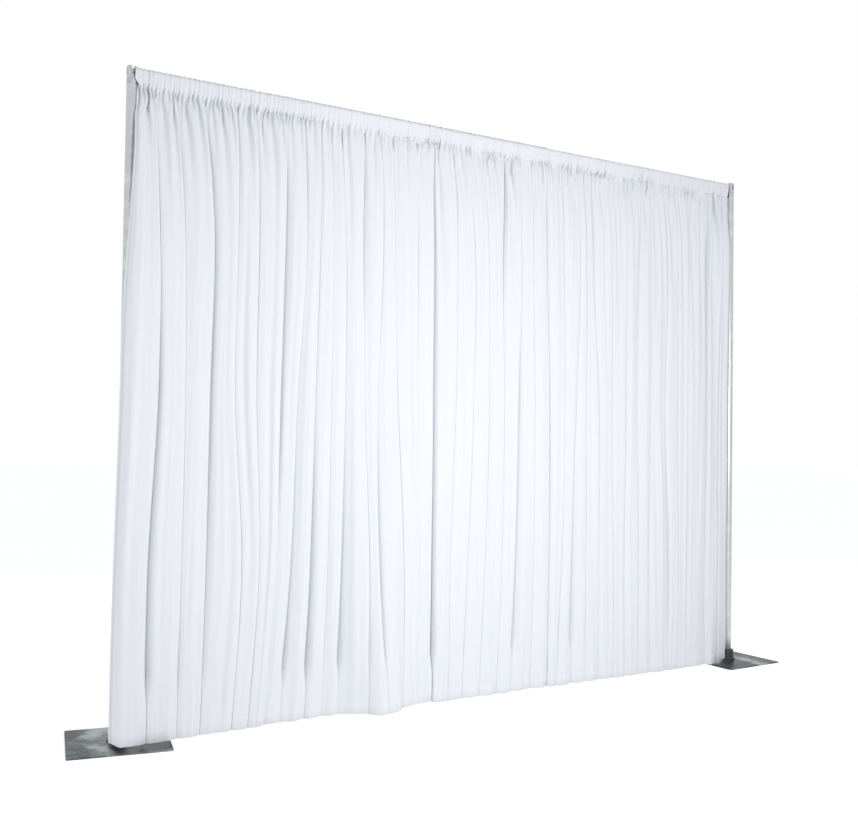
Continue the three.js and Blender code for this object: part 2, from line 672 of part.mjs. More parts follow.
// One column of a panel: the outer loop runs up the front, over the bar and down the back to the hem,
// and the inner loop goes round the pocket that the bar passes through.
function panelColumn(panel, column) {
  const rows = DROP_ROW_SHARES.map((drop) => clothFaces(panel, column, drop));
  const stitch = clothPoint(panel, column, 0);
  const pocketRadius = (panel.barRadius + SEAT_GAP) / Math.cos(Math.PI / (2 * POCKET_STEPS));
  const pocketFoot = stitch.clone().setZ(stitch.z + FABRIC_THICKNESS);
  return {
    outer: [
      ...rows.map((row) => row.front),
      ...pocketArc(stitch.x, pocketRadius + FABRIC_THICKNESS),
      ...rows.map((row) => row.back).reverse(),
    ],
    inner: [pocketFoot, ...pocketArc(stitch.x, pocketRadius)],
  };
}

// A gathered panel as one closed shell: outer skin, pocket tunnel and two side edges. The back skin runs
// the other way, so its quads split along the other diagonal, which lies behind the front skin's.
function drapePanel(panel) {
  const { columns } = panel;
  const sections = Array.from({ length: columns + 1 }, (_, i) => panelColumn(panel, i));
  const rows = DROP_ROW_SHARES.length;
  const outerCount = sections[0].outer.length;
  const innerCount = sections[0].inner.length;
  const points = sections.flatMap(({ outer, inner }) => [...outer, ...inner]);
  const outerAt = (column, i) => column * (outerCount + innerCount) + i % outerCount;
  const innerAt = (column, i) => column * (outerCount + innerCount) + outerCount + i % innerCount;
  const faces = [];
  const quad = (a, b, c, d) => faces.push([a, b, c], [a, c, d]);
  const crossQuad = (a, b, c, d) => quad(b, c, d, a);
  for (let column = 0; column < columns; column += 1) {
    for (let i = 0; i < outerCount; i += 1) {
      const skin = i < outerCount - rows ? quad : crossQuad;
      skin(outerAt(column, i), outerAt(column + 1, i), outerAt(column + 1, i + 1), outerAt(column, i + 1));
    }
    for (let i = 0; i < innerCount; i += 1) {
      quad(innerAt(column, i), innerAt(column, i + 1), innerAt(column + 1, i + 1), innerAt(column + 1, i));
    }
  }
  for (const column of [0, columns]) {
    const side = column === 0 ? quad : (a, b, c, d) => quad(d, c, b, a);
    const backAt = (row) => outerAt(column, outerCount - 1 - row);
    for (let row = 0; row < rows - 1; row += 1) {
      side(outerAt(column, row), outerAt(column, row + 1), backAt(row + 1), backAt(row));
    }
    const top = rows - 1;
    const foot = innerAt(column, 0);
    side(outerAt(column, top), foot, foot, backAt(top));
    for (let i = 0; i <= POCKET_STEPS + 1; i += 1) {
      side(outerAt(column, top + i), outerAt(column, top + i + 1), innerAt(column, i + 1), innerAt(column, i));
    }
  }
  const geometry = new THREE.BufferGeometry().setFromPoints(points);
  geometry.setIndex(faces.flat());
  return sealed(geometry);
}

// Each panel hangs on the tube that is under it, between the seams or edges at its sides.
const panels = CREASE_SHARES.map((creases, number) => {
  const left = number > 0
    ? foldLine(SEAM_SHARES[number - 1], PANEL_GAP / 2)
    : { at: leftEdgeAt, depth: OUTER_EDGE_DEPTH_SHARE };
  const right = number < SEAM_SHARES.length
    ? foldLine(SEAM_SHARES[number], -PANEL_GAP / 2)
    : { at: rightEdgeAt, depth: OUTER_EDGE_DEPTH_SHARE };
  return {
    number,
    lines: [left, ...creases.map((crease) => foldLine(crease)), right],
    columns: (creases.length + 1) * COLUMNS_PER_FOLD,
    barRadius: left.at(0) < outerMouth + BUSH_FLANGE ? outerRadius : innerRadius,
  };
});

function piece(name, geometry, finish) {
  const mesh = new THREE.Mesh(geometry, new THREE.MeshStandardMaterial(FINISHES[finish]));
  mesh.geometry.computeVertexNormals();
  mesh.name = name;
  return mesh;
}

const group = (...members) => new THREE.Group().add(...members);

const shapes = {
  plate: basePlate(),
  hub: baseHub(),
  pin: basePin(),
  insert: pinInsert(),
  screw: pinScrew(),
  tube: uprightTube(),
  ferrule: footFerrule(),
  crown: uprightCrown(),
  hook: hook(),
};

// The base turns about the upright that stands in it.
function stand(side, x, baseTurn) {
  const base = group(
    piece(`${side}_base_plate`, shapes.plate, 'plate'),
    piece(`${side}_base_hub`, shapes.hub, 'hub'),
    piece(`${side}_base_pin`, shapes.pin, 'zinc'),
    piece(`${side}_pin_insert`, shapes.insert, 'zinc'),
    piece(`${side}_pin_screw`, shapes.screw, 'screw'),
  );
  base.rotation.z = baseTurn;
  const upright = group(
    base,
    piece(`${side}_upright_tube`, shapes.tube, 'tube'),
    piece(`${side}_foot_ferrule`, shapes.ferrule, 'nylon'),
    piece(`${side}_upright_crown`, shapes.crown, 'crown'),
  );
  upright.position.x = x;
  return upright;
}

// Hook, plug and spring pins at one end of a bar tube, drawn for the left end.
function barEnd(side, radius, bore) {
  const plug = piece(`${side}_end_plug`, endPlug(radius, bore), 'plug');
  plug.position.x = BAR_SETBACK;
  const pins = SPRING_PIN_PLACES.map((place, i) => {
    const pin = piece(`${side}_spring_pin_${i + 1}`, springPin(radius), 'screw');
    pin.position.x = BAR_SETBACK + place;
    return pin;
  });
  const end = group(piece(`${side}_hook`, shapes.hook, 'zinc'), plug, ...pins);
  end.position.set(-BAY_WIDTH / 2, 0, barAxis);
  return end;
}

function crossbar() {
  const outerTube = piece('crossbar_outer_tube', barTube(outerRadius, outerBore, OUTER_LENGTH), 'tube');
  outerTube.position.set(-barHalf, 0, barAxis);
  const innerTube = piece('crossbar_inner_tube', barTube(innerRadius, innerBore, barHalf - innerEnd), 'tube');
  innerTube.rotation.z = Math.PI;
  innerTube.position.set(barHalf, 0, barAxis);
  const bush = piece('crossbar_mouth_bush', mouthBush(), 'nylon');
  bush.position.set(outerMouth, 0, barAxis);
  const guide = piece('crossbar_guide_plug', guidePlug(), 'nylon');
  guide.position.set(innerEnd, 0, barAxis);
  const rightEnd = group(barEnd('right', innerRadius, innerBore));
  rightEnd.rotation.z = Math.PI;
  return group(outerTube, innerTube, bush, guide, barEnd('left', outerRadius, outerBore), rightEnd);
}

const backdrop = group(
  stand('left', -BAY_WIDTH / 2, LEFT_BASE_TURN),
  stand('right', BAY_WIDTH / 2, RIGHT_BASE_TURN),
  crossbar(),
  ...panels.map((panel) => piece(`drape_panel_${panel.number + 1}`, drapePanel(panel), 'fabric')),
);

export default backdrop;
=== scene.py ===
"""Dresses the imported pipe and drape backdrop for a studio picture.

Two slotted uprights stand on flat steel bases, a telescoping crossbar hooks into their crowns, and five
gathered drape panels hang from it by their rod pockets. Lengths are metres, +X runs from the left upright to
the right one, +Y to the back and +Z up.
"""

import logging
import math
from collections.abc import Callable, Iterator, Sequence
from contextlib import contextmanager
from dataclasses import dataclass
from enum import Enum

import bmesh
import bpy
import numpy as np
from mathutils import Matrix, Vector


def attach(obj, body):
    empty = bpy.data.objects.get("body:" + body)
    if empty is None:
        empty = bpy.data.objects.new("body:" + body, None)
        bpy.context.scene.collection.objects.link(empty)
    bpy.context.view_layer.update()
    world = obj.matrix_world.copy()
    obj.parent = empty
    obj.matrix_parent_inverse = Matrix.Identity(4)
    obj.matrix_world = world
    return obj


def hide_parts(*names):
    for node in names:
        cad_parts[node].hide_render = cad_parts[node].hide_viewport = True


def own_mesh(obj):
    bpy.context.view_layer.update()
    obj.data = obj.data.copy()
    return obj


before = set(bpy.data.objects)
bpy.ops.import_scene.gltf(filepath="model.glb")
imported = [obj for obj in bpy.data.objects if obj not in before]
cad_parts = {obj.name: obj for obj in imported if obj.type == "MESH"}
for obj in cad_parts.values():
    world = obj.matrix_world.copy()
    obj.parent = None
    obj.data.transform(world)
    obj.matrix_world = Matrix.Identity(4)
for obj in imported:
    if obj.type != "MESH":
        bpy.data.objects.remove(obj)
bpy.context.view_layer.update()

log = logging.getLogger("backdrop")

Point = tuple[float, float, float]
Outline = Sequence[tuple[float, float]]
Colour = tuple[float, float, float]

# Lengths that several pieces share: the bay, the crossbar, the gap between seated faces, the play of a plug in
# its tube, the round of a tube's cut end and how far a cutter reaches past a face.
UPRIGHT_X = 1.524
BAR_HEIGHT = 2.417
OUTER_BAR_RADIUS = 0.015875
INNER_BAR_RADIUS = 0.0127
SEAT_GAP = 0.0003
PLUG_PLAY = 0.0004
CUT_END_ROUND = 0.0004
CUT_PAST = 0.002


class Side(Enum):
    """The two ends of the bay, each with the sign of its X."""

    LEFT = -1
    RIGHT = 1

    def node(self, part: str) -> str:
        """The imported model's name of a part at this end."""
        return f"{self.name.lower()}_{part}"

    @property
    def foot(self) -> Point:
        """Where the axis of the upright at this end meets the floor."""
        return (self.value * UPRIGHT_X, 0.0, 0.0)


class Domain(Enum):
    """What a selection in edit mode picks."""

    VERT = "verts"
    EDGE = "edges"
    FACE = "faces"


class Axis(Enum):
    """What a turned piece is turned about: an upright or the crossbar."""

    UPRIGHT = (0.0, 0.0, 1.0)
    BAR = (1.0, 0.0, 0.0)


# Shader arithmetic


class Wire:
    """An output of a material's node tree. Python arithmetic on it adds Math nodes."""

    def __init__(self, tree: "Tree", socket: bpy.types.NodeSocket) -> None:
        """Keeps the tree and the output that the wire starts from."""
        self.tree = tree
        self.socket = socket

    def _math(self, operation: str, *values: "Wire | float") -> "Wire":
        """One Math node on the given values."""
        node = self.tree.node("ShaderNodeMath", {"operation": operation}, dict(enumerate(values)))
        return Wire(self.tree, node.outputs[0])

    def __add__(self, other: "Wire | float") -> "Wire":
        """The sum with a wire or a number."""
        return self._math("ADD", self, other)

    __radd__ = __add__

    def __mul__(self, other: "Wire | float") -> "Wire":
        """The product with a wire or a number."""
        return self._math("MULTIPLY", self, other)

    __rmul__ = __mul__

    def __sub__(self, other: "Wire | float") -> "Wire":
        """This less a wire or a number."""
        return self._math("SUBTRACT", self, other)

    def __rsub__(self, other: float) -> "Wire":
        """A number less this."""
        return self._math("SUBTRACT", other, self)

    def __abs__(self) -> "Wire":
        """The size of the value without its sign."""
        return self._math("ABSOLUTE", self)

    def sine(self) -> "Wire":
        """The sine of the value in radians."""
        return self._math("SINE", self)

    def fraction(self) -> "Wire":
        """The part of the value after its whole number."""
        return self._math("FRACT", self)

    def most(self, other: "Wire | float") -> "Wire":
        """The larger of two values."""
        return self._math("MAXIMUM", self, other)

    def rise(self, low: float, high: float) -> "Wire":
        """A smooth step.

        Args:
            low: The value that gives 0.
            high: The value that gives 1, which may be below low.

        Returns:
            The step as a wire between 0 and 1.
        """
        node = self.tree.node(
            "ShaderNodeMapRange", {"interpolation_type": "SMOOTHSTEP"},
            {"Value": self, "From Min": low, "From Max": high},
        )
        return Wire(self.tree, node.outputs[0])


class Tree:
    """The node tree of one new material."""

    def __init__(self, name: str) -> None:
        """Makes the material with an empty tree."""
        self.material = bpy.data.materials.new(name)
        self.material.use_nodes = True
        self.tree = self.material.node_tree
        self.tree.nodes.clear()

    def node(
        self, kind: str, settings: dict[str, object] | None = None, sockets: dict[str | int, object] | None = None
    ) -> bpy.types.Node:
        """Adds a node.

        Args:
            kind: Blender's name of the node's type.
            settings: The node's own settings. They come first, because some of them change its sockets.
            sockets: A wire or a value for each input, by name or number.

        Returns:
            The node.
        """
        node = self.tree.nodes.new(kind)
        for name, value in (settings or {}).items():
            if name == "stops":
                self._set_stops(node.color_ramp, value)
            else:
                setattr(node, name, value)
        for key, value in (sockets or {}).items():
            if isinstance(value, Wire):
                self.tree.links.new(value.socket, node.inputs[key])
            else:
                node.inputs[key].default_value = value
        return node

    @staticmethod
    def _set_stops(ramp: bpy.types.ColorRamp, stops: Sequence[tuple[float, Colour]]) -> None:
        """Gives a colour ramp its stops."""
        while len(ramp.elements) < len(stops):
            ramp.elements.new(0.5)
        for element, (place, colour) in zip(ramp.elements, stops):
            element.position = place
            element.color = (*colour, 1.0)

    def place(self) -> Wire:
        """Where a point is in the object's frame, as a vector."""
        return Wire(self, self.node("ShaderNodeTexCoord").outputs["Object"])

    def uv(self) -> Wire:
        """The piece's own UV map, as a vector."""
        return Wire(self, self.node("ShaderNodeUVMap", {"uv_map": "cloth"}).outputs[0])

    def split(self, vector: Wire) -> tuple[Wire, Wire, Wire]:
        """The three parts of a vector."""
        node = self.node("ShaderNodeSeparateXYZ", None, {0: vector})
        return tuple(Wire(self, output) for output in node.outputs)

    def noise(self, vector: Wire, scale: float | Point, detail: float, roughness: float = 0.5) -> Wire:
        """Cloudy noise around 0.5.

        Args:
            vector: Where the noise is read.
            scale: Clouds per metre, one number or one for each axis.
            detail: How many finer layers it has.
            roughness: How strong these are.

        Returns:
            The noise as a wire.
        """
        if isinstance(scale, tuple):
            stretched = self.node("ShaderNodeVectorMath", {"operation": "MULTIPLY"}, {0: vector, 1: scale})
            vector, scale = Wire(self, stretched.outputs[0]), 1.0
        node = self.node(
            "ShaderNodeTexNoise", None, {"Vector": vector, "Scale": scale, "Detail": detail, "Roughness": roughness}
        )
        return Wire(self, node.outputs[0])

    def ramp(self, value: Wire, stops: Sequence[tuple[float, Colour]]) -> Wire:
        """A colour for each value."""
        return Wire(self, self.node("ShaderNodeValToRGB", {"stops": stops}, {0: value}).outputs[0])

    def mix(self, share: Wire | float, first: Wire | Colour, second: Wire | Colour) -> Wire:
        """A colour between two colours."""
        ends = [colour if isinstance(colour, Wire) else (*colour, 1.0) for colour in (first, second)]
        node = self.node("ShaderNodeMix", {"data_type": "RGBA"}, {0: share, 6: ends[0], 7: ends[1]})
        return Wire(self, node.outputs[2])

    def bump(self, height: Wire, strength: float, distance: float) -> Wire:
        """A normal that a height tilts."""
        node = self.node("ShaderNodeBump", None, {"Strength": strength, "Distance": distance, "Height": height})
        return Wire(self, node.outputs[0])

    def worn_edges(self, low: float, high: float) -> Wire:
        """1 on a piece's outer edges and 0 on its faces, between two values of the pointiness."""
        return Wire(self, self.node("ShaderNodeNewGeometry").outputs["Pointiness"]).rise(low, high)

    def finish(self, **sockets: object) -> bpy.types.Material:
        """Ends the tree in a Principled shader.

        Args:
            sockets: The shader's inputs, with _ for a space in their names.

        Returns:
            The material.
        """
        named = {name.replace("_", " "): value for name, value in sockets.items()}
        shader = self.node("ShaderNodeBsdfPrincipled", None, named)
        output = self.node("ShaderNodeOutputMaterial")
        self.tree.links.new(shader.outputs[0], output.inputs["Surface"])
        return self.material


# Finishes


@dataclass(frozen=True)
class DrapeCloth:
    """Cool white polyester drape, plain woven, doubled at the rod pocket and the hems."""

    colour: Colour = (0.885, 0.895, 0.918)
    doubled: Colour = (0.9, 0.909, 0.929)
    thread_pitch: float = 0.0006
    stitch_pitch: float = 0.0045
    stitch_width: float = 0.0009
    hem_seam: float = 0.003
    side_hem: float = 0.022
    hem: float = 0.05
    header: float = 0.012
    inset: float = 0.002
    # Painted shade: a grey band along the rod pocket's top, where the cloth turns over the bar away from the light.
    painted_top_shade: Colour = (0.66, 0.69, 0.72)
    painted_top_shade_share: float = 0.75
    painted_top_shade_band: tuple[float, float] = (0.066, 0.108)
    painted_top_shade_fade: tuple[float, float] = (0.004, 0.006)
    # A grey that the slubs, yarns, crumples and stitches mix in, and painted shade along the streaks, in the grooves
    # that the bump sinks there.
    worn: Colour = (0.55, 0.58, 0.64)
    slub_scale: Point = (90.0, 1400.0, 1.0)
    yarn_scale: Point = (1800.0, 14.0, 1.0)
    crumple_scale: Point = (26.0, 9.0, 1.0)
    streak_scale: Point = (62.0, 1.3, 1.0)
    stray_scale: Point = (45.0, 20.0, 1.0)
    stray: float = 0.012

    def material(self, width: float, stitch_line: float) -> bpy.types.Material:
        """Makes the cloth.

        Args:
            width: The flat width of a panel.
            stitch_line: How far above the hem's fold the rod pocket is sewn.

        Returns:
            The material.
        """
        tree = Tree("drape_cloth")
        uv = tree.uv()
        across, along, _ = tree.split(uv)
        turn = 2 * math.pi / self.thread_pitch
        weave = (across * turn).sine() * (along * turn).sine()
        slub = tree.noise(uv, self.slub_scale, 2.0)
        yarn = tree.noise(uv, self.yarn_scale, 2.0)
        crumple = tree.noise(uv, self.crumple_scale, 3.0, 0.55)
        streaks = tree.noise(uv, self.streak_scale, 3.0, 0.6)
        inset, far_hem, header = self.inset, width - self.side_hem, stitch_line - self.header
        side = across.rise(self.side_hem, self.side_hem - inset).most(across.rise(far_hem, far_hem + inset))
        doubled = side.most(along.rise(self.hem, self.hem - inset)).most(along.rise(header, header + inset))
        stitches = self._line(along, self.hem - self.hem_seam, across).most(self._line(along, stitch_line, across))
        stitches = stitches.most(self._line(across, self.side_hem - inset, along))
        stitches = stitches.most(self._line(across, far_hem + inset, along))
        # Painted shade along the pocket's top, where the cloth turns over the bar: a grey band with a slightly wavy
        # edge.
        low, high = (stitch_line + edge for edge in self.painted_top_shade_band)
        astray = along + (tree.noise(uv, self.stray_scale, 2.0) - 0.5) * self.stray
        painted_top_shade_mask = astray.rise(low, low + self.painted_top_shade_fade[0]) * astray.rise(high, high - self.painted_top_shade_fade[1])
        tone = tree.mix(painted_top_shade_mask * self.painted_top_shade_share, tree.mix(doubled, self.colour, self.doubled), self.painted_top_shade)
        # Slub, yarn and crumple tone and the stitches are the cloth's own; the streak term is painted shade in the
        # grooves that the height below sinks along the streaks, so the worn grey carries both.
        shade = slub * 0.04 + yarn * 0.035 + crumple * 0.03 + streaks.rise(0.4, 0.75) * 0.07 + stitches * 0.12
        worn = tree.mix(shade, tone, self.worn)
        height = weave * 0.12 + slub * 0.35 + yarn * 0.3 - stitches * 0.9 + crumple * 1.5 - streaks * 5.0
        return tree.finish(
            Base_Color=worn,
            Roughness=0.93 - slub * 0.1,
            Normal=tree.bump(height, 0.35, 0.0011),
            Specular_IOR_Level=0.25,
            Sheen_Weight=0.18,
            Sheen_Roughness=0.45,
        )

    def _line(self, place: Wire, middle: float, run: Wire) -> Wire:
        """A row of stitches.

        Args:
            place: The coordinate across the row.
            middle: Where the row lies on it.
            run: The coordinate along the row.

        Returns:
            1 on a stitch and 0 beside it.
        """
        beside = abs(place - middle).rise(self.stitch_width, self.stitch_width * 0.4)
        thread = abs((run * (1 / self.stitch_pitch)).fraction() - 0.5).rise(0.42, 0.34)
        return beside * thread


@dataclass(frozen=True)
class PlateSteel:
    """Polished mild steel plate with dark patches of handling and mill scale, painted shade beside the foot under the
    drape's hem, and a painted darker reflection along its outer edge.
    """

    dark: Colour = (0.02, 0.028, 0.034)
    middle: Colour = (0.11, 0.135, 0.14)
    light: Colour = (0.36, 0.39, 0.4)
    edge: Colour = (0.5, 0.53, 0.54)
    patches_per_metre: float = 8.0
    patch_shift: float = 0.09
    # Where the painted shade lies: inward of the foot, under the drape's hem.
    painted_shade_along: tuple[float, float] = (1.575, 1.54)
    painted_shade_front: tuple[float, float] = (-0.19, -0.165)
    painted_shade_back: tuple[float, float] = (0.0, -0.11)
    # Where a painted reflection darkens the plate's outer edge and leaves its inner part lighter.
    painted_reflection_along: tuple[float, float] = (1.675, 1.595)
    grain_scale: Point = (14.0, 900.0, 14.0)
    scuff_scale: Point = (60.0, 9.0, 40.0)

    def material(self) -> bpy.types.Material:
        """Makes the steel."""
        tree = Tree("plate_steel")
        place = tree.place()
        patches = tree.noise(place, self.patches_per_metre, 6.0, 0.62)
        grain = tree.noise(place, self.grain_scale, 2.0)
        scuffs = tree.noise(place, self.scuff_scale, 4.0, 0.7)
        edge = tree.worn_edges(0.53, 0.62)
        along, depth, _ = tree.split(place)
        along, depth = (side + (patches - 0.5) * self.patch_shift for side in (along, depth))
        # Painted shade inward of the foot, under the drape's hem.
        painted_shade = abs(along).rise(*self.painted_shade_along) * depth.rise(*self.painted_shade_front) * depth.rise(*self.painted_shade_back)
        # Painted reflection, not wear: the plate is darker along its outer edge and lighter inward of it.
        worn = abs(along).rise(*self.painted_reflection_along)
        mottle = patches + (grain - 0.5) * 0.12 + (scuffs - 0.5) * 0.18 - painted_shade * 0.4 + worn * 0.2 - 0.13
        base = tree.ramp(mottle, ((0.36, self.dark), (0.5, self.middle), (0.63, self.light)))
        return tree.finish(
            Base_Color=tree.mix(edge * 0.7, base, self.edge),
            Metallic=0.6 - scuffs.rise(0.62, 0.7) * 0.08,
            Roughness=0.3 + patches * 0.12 + scuffs.rise(0.55, 0.75) * 0.14,
            Normal=tree.bump(grain * 0.5 + scuffs, 0.12, 0.0008),
            Specular_IOR_Level=0.2,
        )


@dataclass(frozen=True)
class DrawnAluminium:
    """Drawn tube with fine lines along it and the marks of being slid in and out."""

    colour: Colour = (0.5, 0.525, 0.55)
    rubbed: Colour = (0.66, 0.68, 0.7)
    axis: Axis = Axis.UPRIGHT
    line_scales: tuple[float, float] = (4.0, 700.0)
    scuff_scales: tuple[float, float] = (90.0, 14.0)

    def material(self) -> bpy.types.Material:
        """Makes the tube's finish."""
        tree = Tree(f"drawn_aluminium_{self.axis.name.lower()}")
        place = tree.place()
        lines = tree.noise(place, self._by_axis(self.line_scales), 3.0, 0.6)
        marks = tree.noise(place, 22.0, 4.0, 0.6)
        scuffs = tree.noise(place, self._by_axis(self.scuff_scales), 5.0, 0.7)
        rub = marks.rise(0.45, 0.7)
        return tree.finish(
            Base_Color=tree.mix(rub * 0.6 + lines * 0.3, self.colour, self.rubbed),
            Metallic=1.0,
            Roughness=0.24 + lines * 0.12 + scuffs.rise(0.55, 0.7) * 0.12,
            Normal=tree.bump(lines + scuffs * 0.4, 0.1, 0.0004),
        )

    def _by_axis(self, scales: tuple[float, float]) -> Point:
        """The scale for each axis, from the one along the tube and the one across it."""
        along, across = scales
        return tuple(along if part else across for part in self.axis.value)


@dataclass(frozen=True)
class TurnedMetal:
    """Metal with tool lines round its axis: the crowns, pins and hooks."""

    name: str
    colour: Colour
    bright: Colour
    roughness: float
    lines: Point = (3.0, 3.0, 1500.0)

    def material(self) -> bpy.types.Material:
        """Makes the metal."""
        tree = Tree(self.name)
        place = tree.place()
        lines = tree.noise(place, self.lines, 2.0)
        stains = tree.noise(place, 60.0, 4.0, 0.6)
        edge = tree.worn_edges(0.52, 0.6)
        return tree.finish(
            Base_Color=tree.mix(stains.rise(0.35, 0.65) * 0.5 + edge * 0.5, self.colour, self.bright),
            Metallic=1.0 - stains.rise(0.62, 0.72) * 0.1,
            Roughness=self.roughness + lines * 0.1 + stains * 0.08,
            Normal=tree.bump(lines + stains * 0.5, 0.14, 0.0003),
        )


@dataclass(frozen=True)
class MouldedPlastic:
    """Moulded plastic with a spark-eroded grain and slightly shiny worn places."""

    name: str
    colour: Colour
    worn: Colour
    roughness: float
    grain_per_metre: float = 1600.0

    def material(self) -> bpy.types.Material:
        """Makes the plastic."""
        tree = Tree(self.name)
        place = tree.place()
        grain = tree.noise(place, self.grain_per_metre, 2.0)
        clouds = tree.noise(place, 45.0, 4.0, 0.6)
        edge = tree.worn_edges(0.52, 0.6)
        return tree.finish(
            Base_Color=tree.mix(clouds.rise(0.4, 0.7) * 0.4 + edge * 0.4, self.colour, self.worn),
            Roughness=self.roughness + clouds * 0.14 - edge * 0.12,
            Normal=tree.bump(grain + clouds * 0.6, 0.25, 0.00025),
            Specular_IOR_Level=0.45,
        )


# Modelling


def pick(piece: bpy.types.Object) -> None:
    """Makes a piece the active object and the only selected one."""
    bpy.ops.object.select_all(action="DESELECT")
    bpy.context.view_layer.objects.active = piece
    piece.select_set(True)


@contextmanager
def editing(piece: bpy.types.Object) -> Iterator[None]:
    """Edit mode on one piece, with every other object deselected."""
    pick(piece)
    bpy.ops.object.mode_set(mode="EDIT")
    bpy.ops.mesh.select_mode(type=Domain.VERT.name)
    try:
        yield
    finally:
        bpy.ops.object.mode_set(mode="OBJECT")


def choose(piece: bpy.types.Object, domain: Domain, test: Callable[[Vector], bool]) -> None:
    """Selects in edit mode what lies in a place.

    Args:
        piece: The mesh in edit mode.
        domain: Vertices, edges or faces.
        test: Says of an element's middle whether it is selected. Selected corners select what lies between
            them.
    """
    bpy.ops.mesh.select_mode(type=domain.name)
    bpy.ops.mesh.select_all(action="DESELECT")
    mesh = bmesh.from_edit_mesh(piece.data)
    for element in getattr(mesh, domain.value):
        corners = [element.co] if domain is Domain.VERT else [vert.co for vert in element.verts]
        if test(sum(corners, Vector()) / len(corners)):
            element.select_set(True)
    mesh.select_flush_mode()
    bmesh.update_edit_mesh(piece.data)


def new_piece(name: str) -> bpy.types.Object:
    """Names the primitive that was just added, its place already in its mesh."""
    piece = bpy.context.object
    piece.name = piece.data.name = name
    pick(piece)
    bpy.ops.object.transform_apply(location=True, rotation=True, scale=True)
    return piece


def start_point(name: str, at: Point) -> bpy.types.Object:
    """A piece of one vertex, from which an outline is extruded."""
    bpy.ops.mesh.primitive_plane_add(size=0.001, location=at)
    piece = new_piece(name)
    with editing(piece):
        bpy.ops.mesh.select_all(action="SELECT")
        bpy.ops.mesh.merge(type="CENTER")
    return piece


def extrude_along(points: Sequence[Point]) -> None:
    """Extrudes the selected vertex, which is at the first point, from point to point and back."""
    route = [Vector(point) for point in (*points, points[0])]
    for before, after in zip(route, route[1:]):
        bpy.ops.mesh.extrude_region_move(TRANSFORM_OT_translate={"value": after - before})
    bpy.ops.mesh.select_all(action="SELECT")
    bpy.ops.mesh.remove_doubles(threshold=1e-6)


def eased(outline: Outline, radius: float, steps: int = 3) -> list[tuple[float, float]]:
    """An outline with its corners rounded.

    Args:
        outline: The corners of a closed outline.
        radius: How far from a corner the round starts, less where a side is short.
        steps: Chords to a round.

    Returns:
        The new outline.
    """
    points = [Vector((*corner, 0.0)) for corner in outline]
    rounded = []
    for i, corner in enumerate(points):
        before, after = points[i - 1] - corner, points[(i + 1) % len(points)] - corner
        reach = min(radius, before.length * 0.45, after.length * 0.45)
        if before.angle(after) > math.radians(165):
            rounded.append((corner.x, corner.y))
            continue
        start, end = corner + before.normalized() * reach, corner + after.normalized() * reach
        for step in range(steps + 1):
            share = step / steps
            place = start.lerp(corner, share).lerp(corner.lerp(end, share), share)
            rounded.append((place.x, place.y))
    return rounded


def turned(
    name: str, outline: Outline, centre: Point, axis: Axis = Axis.UPRIGHT, steps: int = 72
) -> bpy.types.Object:
    """Spins a closed outline into a ring or a solid.

    Args:
        name: The piece's name.
        outline: (radius, place along the axis) corners. Two at radius 0 close a solid.
        centre: A point on the axis, from which places are measured.
        axis: What it is turned about.
        steps: Flats round it.

    Returns:
        The piece, with its normals out.
    """
    middle = Vector(centre)
    along = Vector(axis.value)
    outward = Vector((0.0, -1.0, 0.0))
    points = [tuple(middle + outward * radius + along * place) for radius, place in outline]
    piece = start_point(name, points[0])
    with editing(piece):
        bpy.ops.mesh.select_all(action="SELECT")
        extrude_along(points)
        bpy.ops.mesh.spin(steps=steps, angle=2 * math.pi, center=middle, axis=along)
        bpy.ops.mesh.select_all(action="SELECT")
        bpy.ops.mesh.remove_doubles(threshold=1e-6)
        bpy.ops.mesh.dissolve_degenerate(threshold=1e-7)
        bpy.ops.mesh.select_all(action="SELECT")
        bpy.ops.mesh.normals_make_consistent(inside=False)
    return piece


def pressed(name: str, outline: Sequence[Point], thickness: Point) -> bpy.types.Object:
    """Extrudes a flat outline into a plate.

    Args:
        name: The piece's name.
        outline: The corners of one face.
        thickness: The way to the other face.

    Returns:
        The piece, with its normals out.
    """
    piece = start_point(name, outline[0])
    with editing(piece):
        bpy.ops.mesh.select_all(action="SELECT")
        extrude_along(outline)
        bpy.ops.mesh.edge_face_add()
        bpy.ops.mesh.extrude_region_move(TRANSFORM_OT_translate={"value": thickness})
        bpy.ops.mesh.select_all(action="SELECT")
        bpy.ops.mesh.normals_make_consistent(inside=False)
    return piece


def cut_by(piece: bpy.types.Object, *cutters: bpy.types.Object) -> None:
    """Takes cutters out of a piece and removes them."""
    for cutter in cutters:
        knife = piece.modifiers.new("cut", "BOOLEAN")
        knife.operation = "DIFFERENCE"
        knife.solver = "EXACT"
        knife.object = cutter
        apply_modifiers(piece)
        bpy.data.objects.remove(cutter)


def apply_modifiers(piece: bpy.types.Object) -> None:
    """Applies a piece's modifiers in their order."""
    pick(piece)
    for modifier in list(piece.modifiers):
        bpy.ops.object.modifier_apply(modifier=modifier.name)


def soften_edges(piece: bpy.types.Object, width: float, segments: int = 2, angle: float = 40.0) -> None:
    """Bevels a piece's hard edges.

    Args:
        piece: The piece.
        width: How wide the bevel is.
        segments: Faces across it.
        angle: The least angle, in degrees, between the faces at an edge that is bevelled.
    """
    bevel = piece.modifiers.new("edges", "BEVEL")
    bevel.width = width
    bevel.segments = segments
    bevel.limit_method = "ANGLE"
    bevel.angle_limit = math.radians(angle)
    apply_modifiers(piece)


def shade(piece: bpy.types.Object, angle: float = 32.0) -> None:
    """Shades a piece smooth except across its hard edges."""
    pick(piece)
    bpy.ops.object.shade_smooth_by_angle(angle=math.radians(angle))


